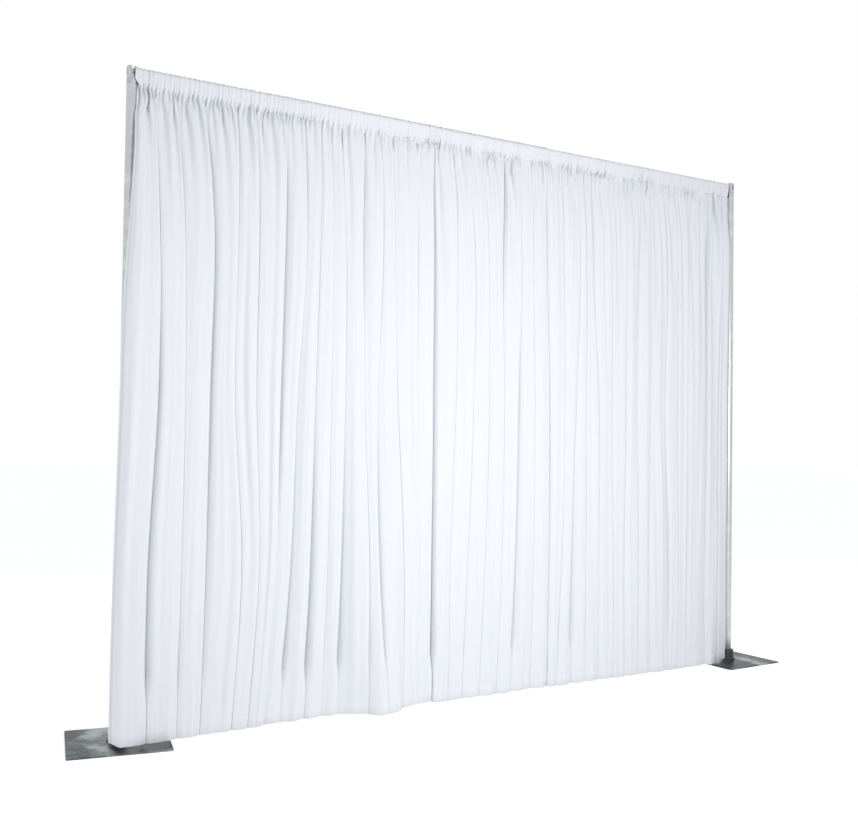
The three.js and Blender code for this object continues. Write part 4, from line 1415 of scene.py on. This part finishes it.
@dataclass
class DrapePanel:
    """One gathered panel: a single sheet from its hem up the front, over the bar and down behind."""

    drape: Drape
    number: int
    cloth: bpy.types.Material
    columns: int = 300
    hem_rows: int = 5
    drop_rows: int = 104
    even_rows: float = 0.3
    row_crowding: float = 2.2
    depths: tuple[float, float] = (0.01, 6.0)
    halvings: int = 30
    seed: int = 40

    def __post_init__(self) -> None:
        """Shares out the rows and columns and starts the panel's own random numbers."""
        self.random = np.random.default_rng(self.seed + self.number)
        steps = np.linspace(0, 1, self.drop_rows)
        self.drops = self.even_rows * steps + (1 - self.even_rows) * steps**self.row_crowding
        self.folds = len(CREASES[self.number - 1]) + 1
        self.pleat = Pleat(front_columns=round(self.columns / self.folds) - 2 * Pleat().lead)
        self.first, self.last = self.number == 1, self.number == len(CREASES)

    def build(self) -> bpy.types.Object:
        """Returns:
            The panel.
        """
        points, flat = self._sheet()
        piece = self._mesh(points, flat)
        dress(piece, self.cloth, "crossbar_outer", f"drape_panel_{self.number}")
        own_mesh(piece)
        return piece

    def _crease_lines(self, drop: np.ndarray) -> tuple[np.ndarray, np.ndarray]:
        """Where the creases are and how tight.

        Args:
            drop: Shares of the drop, one for each row.

        Returns:
            The X of each crease, edges included, and its tightness, by row.
        """
        drape, lines = self.drape, list(CREASES[self.number - 1])
        if not self.first:
            lines.insert(0, SEAMS[self.number - 2])
        if not self.last:
            lines.append(SEAMS[self.number - 1])
        places = [self._through(np.array(line.places_mm) / 1000, drop) for line in lines]
        least = [drape.seam_tightness if line in SEAMS else drape.crease_tightness for line in lines]
        tight = [np.clip(self._through(np.array(line.tightness), drop), low, 1) for line, low in zip(lines, least)]
        if self.first:
            places.insert(0, drape.left_edge(drop))
            tight.insert(0, np.full_like(drop, drape.edge_tightness[0]))
        else:
            places[0] = places[0] + drape.seam_gap
        if self.last:
            places.append(drape.right_edge(drop))
            tight.append(np.full_like(drop, drape.edge_tightness[1]))
        else:
            places[-1] = places[-1] - drape.seam_gap
        return np.stack(places, 1), np.stack(tight, 1)

    def _through(self, values: np.ndarray, drop: np.ndarray) -> np.ndarray:
        """A smooth curve through the values at the drape's levels."""
        levels = np.array(self.drape.levels)
        slopes = np.gradient(values, levels)
        at = np.clip(np.searchsorted(levels, drop, side="right") - 1, 0, len(levels) - 2)
        reach = levels[at + 1] - levels[at]
        share = (drop - levels[at]) / reach
        rise = values[at + 1] - values[at]
        before, after = slopes[at] * reach - rise, slopes[at + 1] * reach - rise
        return values[at] + rise * share + share * (1 - share) * (before * (1 - share) - after * share)

    def _sheet(self) -> tuple[np.ndarray, np.ndarray]:
        """The panel's points.

        Returns:
            The points and the flat cloth's coordinates, each by row and column.
        """
        drape, down = self.drape, self.drops[:, None]
        x, y, across = self._plan(self.drops)
        depth_share = (y - y.min(1, keepdims=True)) / np.maximum(np.ptp(y, axis=1)[:, None], 1e-6)
        z = drape.stitch_z - (drape.drop - drape.hem_lift * depth_share) * down
        waves = [np.sin(x * 2 * np.pi / pitch + pitch * 50) for pitch in drape.hem_pitches]
        z += drape.hem_wave * (1 + sum(waves) / len(waves)) * smooth(down, drape.hem_wave_start)
        from_left = x - drape.left_edge(down)
        lifted = 1 - smooth(from_left, 0.0, drape.left_lift_reach)
        z += drape.left_lift * lifted * smooth(down, drape.left_lift_start)
        lifted = 1 - smooth(from_left, 0.0, drape.corner_lift_reach)
        z += drape.corner_lift * lifted * smooth(down, drape.corner_lift_start)
        front = np.stack([x, y, z], 2)[::-1]
        rises = np.linalg.norm(np.diff(front, axis=0), axis=2).mean(1)
        along = np.concatenate([[0], np.cumsum(rises)])
        hem, hem_along = self._hem_turn(front)
        pocket, pocket_along = self._pocket(x[0], y[0])
        points = np.concatenate([hem, front, pocket])
        along = np.concatenate([hem_along, along, along[-1] + pocket_along])
        widths = np.concatenate([across[-1:].repeat(len(hem), 0), across[::-1], across[:1].repeat(len(pocket), 0)])
        return points, np.stack([widths, np.broadcast_to(along[:, None], widths.shape)], 2)

    def _plan(self, drop: np.ndarray) -> tuple[np.ndarray, np.ndarray, np.ndarray]:
        """The cloth's curve seen from above, at each height.

        The cloth doesn't stretch: one factor for each row, on the walls of its folds and on its gathers,
        makes the row as long as the flat cloth is wide.

        Args:
            drop: Shares of the drop.

        Returns:
            X, Y and the flat coordinate across the cloth, each by row and column.
        """
        folds = self._folds(drop)
        low, high = (np.full(len(drop), depth) for depth in self.depths)
        for _ in range(self.halvings):
            factor = (low + high) / 2
            _, steps = self._row(factor, folds)
            long = steps.sum((1, 2)) > self.drape.flat_width
            high, low = np.where(long, factor, high), np.where(long, low, factor)
        angle, steps = self._row(low, folds)
        log.info("panel %d: folds deepened %.2f to %.2f times", self.number, low.min(), low.max())
        across = self._run(steps)
        x = folds.places[:, :1] + self._run(np.cos(angle) * steps)
        y = self._set_forward(x, self._run(np.sin(angle) * steps), drop)
        return x, y, across * (self.drape.flat_width / across[:, -1:])

    def _folds(self, drop: np.ndarray) -> Folds:
        """The panel's folds at shares of the drop."""
        drape, pleat, down = self.drape, self.pleat, drop[:, None]
        fall = drop * drape.drop
        places, tight = self._crease_lines(drop)
        calm = 1 - drape.right_calm * drape.returning(places) * smooth(down, 0.0, drape.right_calm_end)
        grown = np.clip(fall[:, None] / between(pleat.starts, tight[:1]), 0, 1) * calm
        seen = tight * (1 - smooth(down, *drape.fading_drops))
        slope = pleat.slope(grown)
        for side, free in ((0, self.first), (-1, self.last)):
            if free:
                grown[:, side] = 0.0
                slope[:, side] = drape.edge_curl * smooth(drop, 0.0, drape.edge_curl_end)
        widths = np.diff(places, axis=1).mean(0)
        low, high = drape.wide_folds
        square = drape.squareness + drape.wide_squareness * np.clip((widths - low) / (high - low), 0, 1)
        square = square + self.random.uniform(*drape.squareness_spread, self.folds)
        square = between((square, drape.hem_squareness), smooth(down, *drape.hem_squaring))
        return Folds(
            places=places,
            seen=seen,
            opening=1 + drape.opening * smooth(down, *drape.opening_drops),
            formed=pleat.formed(grown),
            slope=slope,
            lean=pleat.lean(seen + drape.hem_lean * smooth(down, drape.hem_start)),
            turns=pleat.turn(square),
            gathers=self._gathers(fall, places),
            ripples=self._ripples(drop, widths),
        )

    @staticmethod
    def _run(steps: np.ndarray) -> np.ndarray:
        """Running totals of each row's steps, from 0."""
        rows = steps.reshape(len(steps), -1)
        return np.concatenate([np.zeros((len(rows), 1)), np.cumsum(rows, 1)], 1)

    def _row(self, factor: np.ndarray, folds: Folds) -> tuple[np.ndarray, np.ndarray]:
        """The slope and the length of every column.

        Args:
            factor: How deep the folds and gathers are, by row.
            folds: The panel's folds.

        Returns:
            Slopes in radians and lengths, by row, fold and column.
        """
        pleat, count, reach = self.pleat, self.pleat.columns, self.pleat.lead
        middle, sharpness = count // 2, self.drape.sharpness
        sides = folds.slope[:, :, None] * folds.lean
        fold = folds.turns * np.concatenate([sides[:, :-1, :middle], sides[:, 1:, middle:]], 2)
        gathered = np.minimum(factor, self.drape.gather_limit)[:, None, None]
        angle = fold + (folds.gathers * gathered + folds.ripples) * (1 - (fold / pleat.steepness) ** 2)
        angle = angle / (1 + np.abs(angle / self.drape.steepest) ** sharpness) ** (1 / sharpness)
        behind = pleat.lengths_behind(folds.seen, folds.opening, folds.formed, factor[:, None])
        fixed = np.zeros_like(angle)
        fixed[:, :, :reach] = behind[:, :-1]
        fixed[:, :, -reach:] = behind[:, 1:, ::-1]
        loose = between((1.0, pleat.slack), folds.formed)[:, :, None] / count
        free = np.empty_like(angle)
        free[:, :, :reach] = loose[:, :-1]
        free[:, :, -reach:] = loose[:, 1:]
        free[:, :, reach:-reach] = np.diff(pleat.front_edges()) * (1 - 2 * reach / count)
        width = np.diff(folds.places, axis=1) - (fixed * np.cos(angle)).sum(2)
        spread = width / (free * np.cos(angle)).sum(2)
        return angle, fixed + free * spread[:, :, None]

    def _gathers(self, fall: np.ndarray, places: np.ndarray) -> np.ndarray:
        """The fine gathers of the pocket, which merge in pairs below it and run out at their own distances."""
        drape, count = self.drape, self.pleat.columns
        share = (np.arange(count) + 0.5) / count
        slopes = np.zeros((len(fall), self.folds, count))
        for fold in range(self.folds):
            waves = max(2, 2 * round((places[0, fold + 1] - places[0, fold]) / drape.gather_pitch / 2))
            sway = self.random.normal(0.0, drape.gather_sway, 2)
            bent = sway[0] * np.sin(2 * np.pi * share) + sway[1] * np.sin(4 * np.pi * share) / 2
            at = (share + bent / (2 * np.pi)) * waves
            long = smooth(places[0, fold], *drape.long_pairs)
            pair_runs = tuple(between(ends, long) for ends in zip(*drape.pair_runs))
            fine = self._running_out(fall, at, waves, drape.gather_runs) * drape.gather_slope
            pairs = self._running_out(fall, at / 2, waves // 2, pair_runs) * between(drape.pair_slopes, long)
            pairs = pairs * smooth(fall, 0.0, drape.pair_start)[:, None]
            slopes[:, fold] = -fine * np.sin(2 * np.pi * at) - pairs * np.sin(np.pi * at)
        return slopes

    def _running_out(self, fall: np.ndarray, at: np.ndarray, waves: int, reach: tuple[float, float]) -> np.ndarray:
        """How much of each gather is left at a distance below the pocket.

        Args:
            fall: The distances, by row.
            at: Where each column is, in gathers.
            waves: How many gathers there are.
            reach: The distances over which the first and the last of them run out.

        Returns:
            The strength by row and column.
        """
        runs = between(reach, self.random.random(waves + 1) ** 2)
        strengths = self.random.uniform(*self.drape.gather_strengths, waves + 1)
        fade = strengths * np.exp(-((fall[:, None] / runs) ** self.drape.gather_fade))
        first = np.clip(np.floor(at).astype(int), 0, waves - 1)
        part = smooth(at - first)
        return fade[:, first] * (1 - part) + fade[:, first + 1] * part

    def _ripples(self, drop: np.ndarray, widths: np.ndarray) -> np.ndarray:
        """Shallow ripples and tilts of the folds' fronts, and the puckers of the hem."""
        drape, down, wide = self.drape, drop[:, None, None], widths[:, None]
        share, turn = self.pleat.on_front(), 2 * np.pi
        inside = np.sin(np.pi * share) ** drape.ripple_rounding
        total = np.zeros((len(drop), self.folds, len(share)))
        for pitch, height in drape.ripples:
            phase = turn * self.random.random((3, self.folds, 1))
            pace = self.random.uniform(*drape.ripple_paces, (2, self.folds, 1))
            envelope = 1 + drape.ripple_change * (np.sin(pace[0] * turn * down + phase[0]) - 1)
            drift = phase[1] + drape.ripple_drift * np.sin(pace[1] * turn * down + phase[2])
            total += height * envelope * np.sin(turn * wide / pitch * share + drift) * inside
        pucker = self.random.uniform(*drape.pucker_slopes, (self.folds, 1))
        phase = turn * self.random.random((self.folds, 1))
        pucker = pucker * np.sin(turn * wide / drape.pucker_pitch * share + phase)
        total += smooth(down, drape.hem_start) * pucker * inside
        return total * between((drape.ripple_start, 1.0), smooth(down, 0.0, drape.ripple_end))

    def _set_forward(self, x: np.ndarray, y: np.ndarray, drop: np.ndarray) -> np.ndarray:
        """Moves the curve so that the folds' fronts keep their distance from the bar.

        Args:
            x: X by row and column.
            y: Y of the free curve.
            drop: Shares of the drop.

        Returns:
            Y by row and column.
        """
        count = self.pleat.columns
        fronts = np.arange(self.folds) * count + count // 2
        kernel = np.hanning(count + 2)
        kernel /= kernel.sum()
        ahead = np.stack([np.interp(np.arange(y.shape[1]), fronts, row) for row in y[:, fronts]])
        formed = smooth(drop, 0.0, self.drape.level_end)[:, None]
        level = self._blurred(y, kernel) * (1 - formed) + self._blurred(ahead, kernel) * formed
        half_depth = (y[:, ::count].mean(1) - y[:, fronts].mean(1))[:, None] / 2 * formed
        return y - level - half_depth - self.drape.forward(x, drop[:, None])

    @staticmethod
    def _blurred(values: np.ndarray, kernel: np.ndarray) -> np.ndarray:
        """Each row blurred by a kernel, its ends held."""
        pad = len(kernel) // 2
        padded = np.pad(values, ((0, 0), (pad, len(kernel) - 1 - pad)), mode="edge")
        return np.stack([np.convolve(row, kernel, "valid") for row in padded])

    def _hem_turn(self, front: np.ndarray) -> tuple[np.ndarray, np.ndarray]:
        """The turned-up hem behind the first row of the front.

        Args:
            front: The front's points, hem first.

        Returns:
            The turned-up part's points, its upper edge first, and their flat coordinate.
        """
        drape, columns = self.drape, np.arange(front.shape[1])
        heights = np.linspace(drape.hem_turn, drape.hem_turn_foot, self.hem_rows)
        rise = front[:, :, 2] - front[0, :, 2]
        rows = []
        for height in heights:
            at = np.array([np.interp(height, column, np.arange(len(front))) for column in rise.T])
            low = np.floor(at).astype(int)
            part = (at - low)[:, None]
            place = front[low, columns] * (1 - part) + front[np.minimum(low + 1, len(front) - 1), columns] * part
            rows.append(place + self._backward(place) * drape.hem_gap)
        rows.append(front[0] + self._backward(front[0]) * drape.hem_gap / 2 - (0, 0, drape.hem_roll))
        return np.stack(rows), np.append(-heights, -drape.hem_half_round)

    @staticmethod
    def _backward(row: np.ndarray) -> np.ndarray:
        """The way to the cloth's back at each point of a row."""
        along = np.gradient(row, axis=0)
        back = np.stack([-along[:, 1], along[:, 0], np.zeros(len(row))], 1)
        return back / np.maximum(np.linalg.norm(back, axis=1, keepdims=True), 1e-9)

    def _pocket(self, x: np.ndarray, y: np.ndarray) -> tuple[np.ndarray, np.ndarray]:
        """The rod pocket, from just above the stitch line round the bar to the flap behind.

        The gathers flatten on the bar, and the cloth stands clear of it by their height.

        Args:
            x: X along the stitch line.
            y: Y along the stitch line, where the gathers stand to either side of the bar's plane.

        Returns:
            The points by row and column, and the flat coordinate of each row.
        """
        drape, pocket = self.drape, self.drape.pocket
        section, outward, run = pocket.section(drape.bar_radius(self.number), drape.bar_z, drape.stitch_z)
        climb = np.clip((section[:, 1:] - drape.stitch_z) / (drape.bar_z - drape.stitch_z), 0, 1)
        share = (run / run[-1])[:, None]
        side = np.cos(np.pi * smooth(share, *pocket.turning))
        flattening = 1 - pocket.flattened * smooth(climb, 0.0, pocket.flattened_by)
        columns = np.arange(len(x)) / len(x)
        swing = 1 + pocket.swing * np.sin(2 * np.pi * pocket.swings * columns + 4 * np.pi * share + self.number)
        ruffle = -(y - y.mean()) * side * flattening * swing
        crest = np.abs(ruffle).max(1, keepdims=True)
        near_end = near(np.minimum(x - x[0], x[-1] - x), pocket.end_reach)
        standing = smooth(climb, 0.0, pocket.standing_by)
        out = ruffle * (1 - near_end * standing) + crest * standing * (1 + pocket.end_lift * near_end)
        over_crown = smooth(-section[:, :1], *pocket.crown_front)
        over_crown = over_crown * near(x - drape.left_edge(np.zeros(1)), pocket.crown_reach)
        points = np.empty((len(section), len(x), 3))
        points[:, :, 0] = x
        points[:, :, 1:] = section[:, None] + outward[:, None] * out[:, :, None]
        points[:, :, 1] += y.mean() * (1 - standing)
        points[:, :, :2] -= over_crown[:, :, None] * pocket.crown_shift
        return points, run

    def _mesh(self, points: np.ndarray, flat: np.ndarray) -> bpy.types.Object:
        """Makes the sheet's mesh from a grid, with its UV map and its thickness.

        Args:
            points: The points by row and column.
            flat: The flat coordinates by row and column.

        Returns:
            The piece.
        """
        rows, columns = points.shape[:2]
        bpy.ops.mesh.primitive_grid_add(x_subdivisions=columns - 1, y_subdivisions=rows - 1, size=1.0)
        piece = new_piece(f"cloth_panel_{self.number}")
        mesh = piece.data
        mesh.vertices.foreach_set("co", points.reshape(-1).astype(np.float32))
        for layer in list(mesh.uv_layers):
            mesh.uv_layers.remove(layer)
        corners = np.empty(len(mesh.loops), np.int64)
        mesh.loops.foreach_get("vertex_index", corners)
        coordinates = flat.reshape(-1, 2)[corners]
        mesh.uv_layers.new(name="cloth").data.foreach_set("uv", coordinates.reshape(-1).astype(np.float32))
        mesh.update()
        wall = piece.modifiers.new("cloth", "SOLIDIFY")
        wall.thickness = self.drape.cloth
        wall.offset = 0.0
        apply_modifiers(piece)
        with editing(piece):
            bpy.ops.mesh.select_all(action="SELECT")
            bpy.ops.mesh.normals_make_consistent(inside=False)
        shade(piece, angle=60.0)
        return piece


# Studio


@dataclass(frozen=True)
class Lamp:
    """A soft rectangular lamp that the camera doesn't see, with its width, height and watts."""

    name: str
    place: Point
    aim: Point
    size: tuple[float, float]
    power: float

    def build(self) -> None:
        """Makes the lamp."""
        light = bpy.data.lights.new(self.name, "AREA")
        light.shape = "RECTANGLE"
        light.size, light.size_y = self.size
        light.energy = self.power
        lamp = bpy.data.objects.new(self.name, light)
        lamp.location = self.place
        lamp.rotation_euler = (Vector(self.aim) - Vector(self.place)).to_track_quat("-Z", "Y").to_euler()
        lamp.visible_camera = False
        bpy.context.scene.collection.objects.link(lamp)


@dataclass(frozen=True)
class Studio:
    """A white floor and surround, soft lamps and the camera."""

    camera_place: Point = (-2.420, -3.718, 1.087)
    yaw: float = math.radians(30.24)
    pitch: float = math.radians(1.46)
    roll: float = math.radians(0.80)
    lens: float = 42.60
    clip: tuple[float, float] = (0.05, 200.0)
    ambient: float = 0.62
    ambient_colour: Colour = (0.93, 0.96, 1.0)
    floor_reach: float = 40.0
    floor_colour: Colour = (0.8, 0.81, 0.82)
    floor_clouds: float = 0.02
    floor_glow: float = 0.52
    lamps: tuple[Lamp, ...] = (
        Lamp("key", (-0.15, -2.7, 1.45), (-0.15, 0.0, 1.4), (1.2, 1.2), 38.0),
        Lamp("back", (1.2, 3.4, 2.2), (0.0, 0.0, 1.1), (2.0, 2.0), 40.0),
    )

    def build(self) -> None:
        """Makes the surround, the floor, the lamps and the camera."""
        self._world()
        self._floor()
        for lamp in self.lamps:
            lamp.build()
        self._camera()

    def _world(self) -> None:
        """White where it is seen, mirrored or shone through, and softer as a light."""
        world = bpy.data.worlds.new("studio")
        bpy.context.scene.world = world
        world.use_nodes = True
        nodes, links = world.node_tree.nodes, world.node_tree.links
        nodes.clear()
        path = nodes.new("ShaderNodeLightPath")
        light, white = nodes.new("ShaderNodeBackground"), nodes.new("ShaderNodeBackground")
        light.inputs[0].default_value = (*self.ambient_colour, 1.0)
        light.inputs[1].default_value = self.ambient
        white.inputs[0].default_value = (1.0, 1.0, 1.0, 1.0)
        white.inputs[1].default_value = 1.0
        seen = path.outputs["Is Camera Ray"]
        for other in ("Is Glossy Ray", "Is Transmission Ray"):
            either = nodes.new("ShaderNodeMath")
            either.operation = "MAXIMUM"
            links.new(seen, either.inputs[0])
            links.new(path.outputs[other], either.inputs[1])
            seen = either.outputs[0]
        mix, output = nodes.new("ShaderNodeMixShader"), nodes.new("ShaderNodeOutputWorld")
        links.new(seen, mix.inputs[0])
        links.new(light.outputs[0], mix.inputs[1])
        links.new(white.outputs[0], mix.inputs[2])
        links.new(mix.outputs[0], output.inputs[0])

    def _floor(self) -> None:
        """A pale floor that reads as white and keeps the object's shadow."""
        bpy.ops.mesh.primitive_plane_add(size=2 * self.floor_reach, location=(0.0, 0.0, 0.0))
        floor = new_piece("studio_floor")
        tree = Tree("studio_floor")
        clouds = tree.noise(tree.place(), 0.6, 3.0)
        paler = tuple(min(1.0, part + self.floor_clouds) for part in self.floor_colour)
        diffuse = tree.node("ShaderNodeBsdfDiffuse", None, {"Color": tree.mix(clouds, self.floor_colour, paler)})
        glow = tree.node("ShaderNodeEmission", None, {"Color": (1.0, 1.0, 1.0, 1.0)})
        path = tree.node("ShaderNodeLightPath")
        seen = Wire(tree, path.outputs["Is Camera Ray"]).most(Wire(tree, path.outputs["Is Glossy Ray"]))
        tree.tree.links.new((seen * self.floor_glow).socket, glow.inputs["Strength"])
        both = tree.node("ShaderNodeAddShader")
        tree.tree.links.new(diffuse.outputs[0], both.inputs[0])
        tree.tree.links.new(glow.outputs[0], both.inputs[1])
        output = tree.node("ShaderNodeOutputMaterial")
        tree.tree.links.new(both.outputs[0], output.inputs["Surface"])
        floor.data.materials.append(tree.material)

    def _camera(self) -> None:
        """The camera, at the photograph's viewpoint."""
        ahead = Vector((
            math.sin(self.yaw) * math.cos(self.pitch), math.cos(self.yaw) * math.cos(self.pitch), math.sin(self.pitch)
        ))
        level = Vector((math.cos(self.yaw), -math.sin(self.yaw), 0.0))
        upward = level.cross(ahead)
        right = level * math.cos(self.roll) + upward * math.sin(self.roll)
        up = upward * math.cos(self.roll) - level * math.sin(self.roll)
        data = bpy.data.cameras.new("camera")
        data.lens = self.lens
        data.clip_start, data.clip_end = self.clip
        camera = bpy.data.objects.new("camera", data)
        turn = Matrix((right, up, -ahead)).transposed().to_4x4()
        camera.matrix_world = Matrix.Translation(self.camera_place) @ turn
        bpy.context.scene.collection.objects.link(camera)
        bpy.context.scene.camera = camera


@dataclass
class CarriedNodes:
    """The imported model's own solids that stay, given smooth faces and materials by parts of their names."""

    finishes: dict[str, bpy.types.Material]
    facet_angle: float = 34.0

    def dress(self) -> None:
        """Gives each of them its material."""
        for name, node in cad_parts.items():
            for kind, material in self.finishes.items():
                if kind in name:
                    self._dress_one(node, material)

    def _dress_one(self, node: bpy.types.Object, material: bpy.types.Material) -> None:
        """One node's material, with its facets smoothed by modifiers that leave its mesh alone."""
        node.data.materials.clear()
        node.data.materials.append(material)
        node.data.polygons.foreach_set("use_smooth", [True] * len(node.data.polygons))
        weld = node.modifiers.new("weld", "WELD")
        weld.merge_threshold = 1e-6
        split = node.modifiers.new("hard_edges", "EDGE_SPLIT")
        split.split_angle = math.radians(self.facet_angle)


def main() -> None:
    """Builds the backdrop and the studio round it."""
    logging.basicConfig(level=logging.INFO, format="%(message)s")
    scene = bpy.context.scene
    scene.view_settings.view_transform = "Standard"
    steel = PlateSteel().material()
    tube, bar = DrawnAluminium().material(), DrawnAluminium(axis=Axis.BAR).material()
    collar = MouldedPlastic(
        "collar_plastic", colour=(0.022, 0.026, 0.031), worn=(0.05, 0.056, 0.064), roughness=0.38
    ).material()
    nylon = MouldedPlastic("nylon", colour=(0.72, 0.73, 0.71), worn=(0.6, 0.61, 0.6), roughness=0.4).material()
    grey = MouldedPlastic(
        "plug_plastic", colour=(0.42, 0.45, 0.48), worn=(0.5, 0.53, 0.56), roughness=0.42
    ).material()
    crown = TurnedMetal(
        "crown_aluminium", colour=(0.42, 0.44, 0.46), bright=(0.62, 0.64, 0.66), roughness=0.24
    ).material()
    zinc = TurnedMetal(
        "zinc_steel", colour=(0.42, 0.43, 0.44), bright=(0.6, 0.61, 0.62), roughness=0.26, lines=(300.0, 300.0, 300.0)
    ).material()
    black = TurnedMetal(
        "black_steel", colour=(0.05, 0.055, 0.06), bright=(0.16, 0.165, 0.17), roughness=0.34,
        lines=(200.0, 200.0, 200.0),
    ).material()

    CarriedNodes({
        "base_pin": zinc, "pin_insert": zinc, "pin_screw": black, "foot_ferrule": nylon, "spring_pin": black,
        "guide_plug": nylon,
    }).dress()

    for side, turn in ((Side.LEFT, math.radians(-9.8)), (Side.RIGHT, math.radians(2.4))):
        Base(side, turn, steel, collar).build()
        Upright(side, tube, crown).build()
    Crossbar(bar, zinc, grey, nylon).build()

    drape = Drape()
    cloth = DrapeCloth().material(drape.flat_width, drape.drop)
    for number in range(1, len(CREASES) + 1):
        DrapePanel(drape, number, cloth).build()

    Studio().build()


if __name__ == "__main__":
    main()
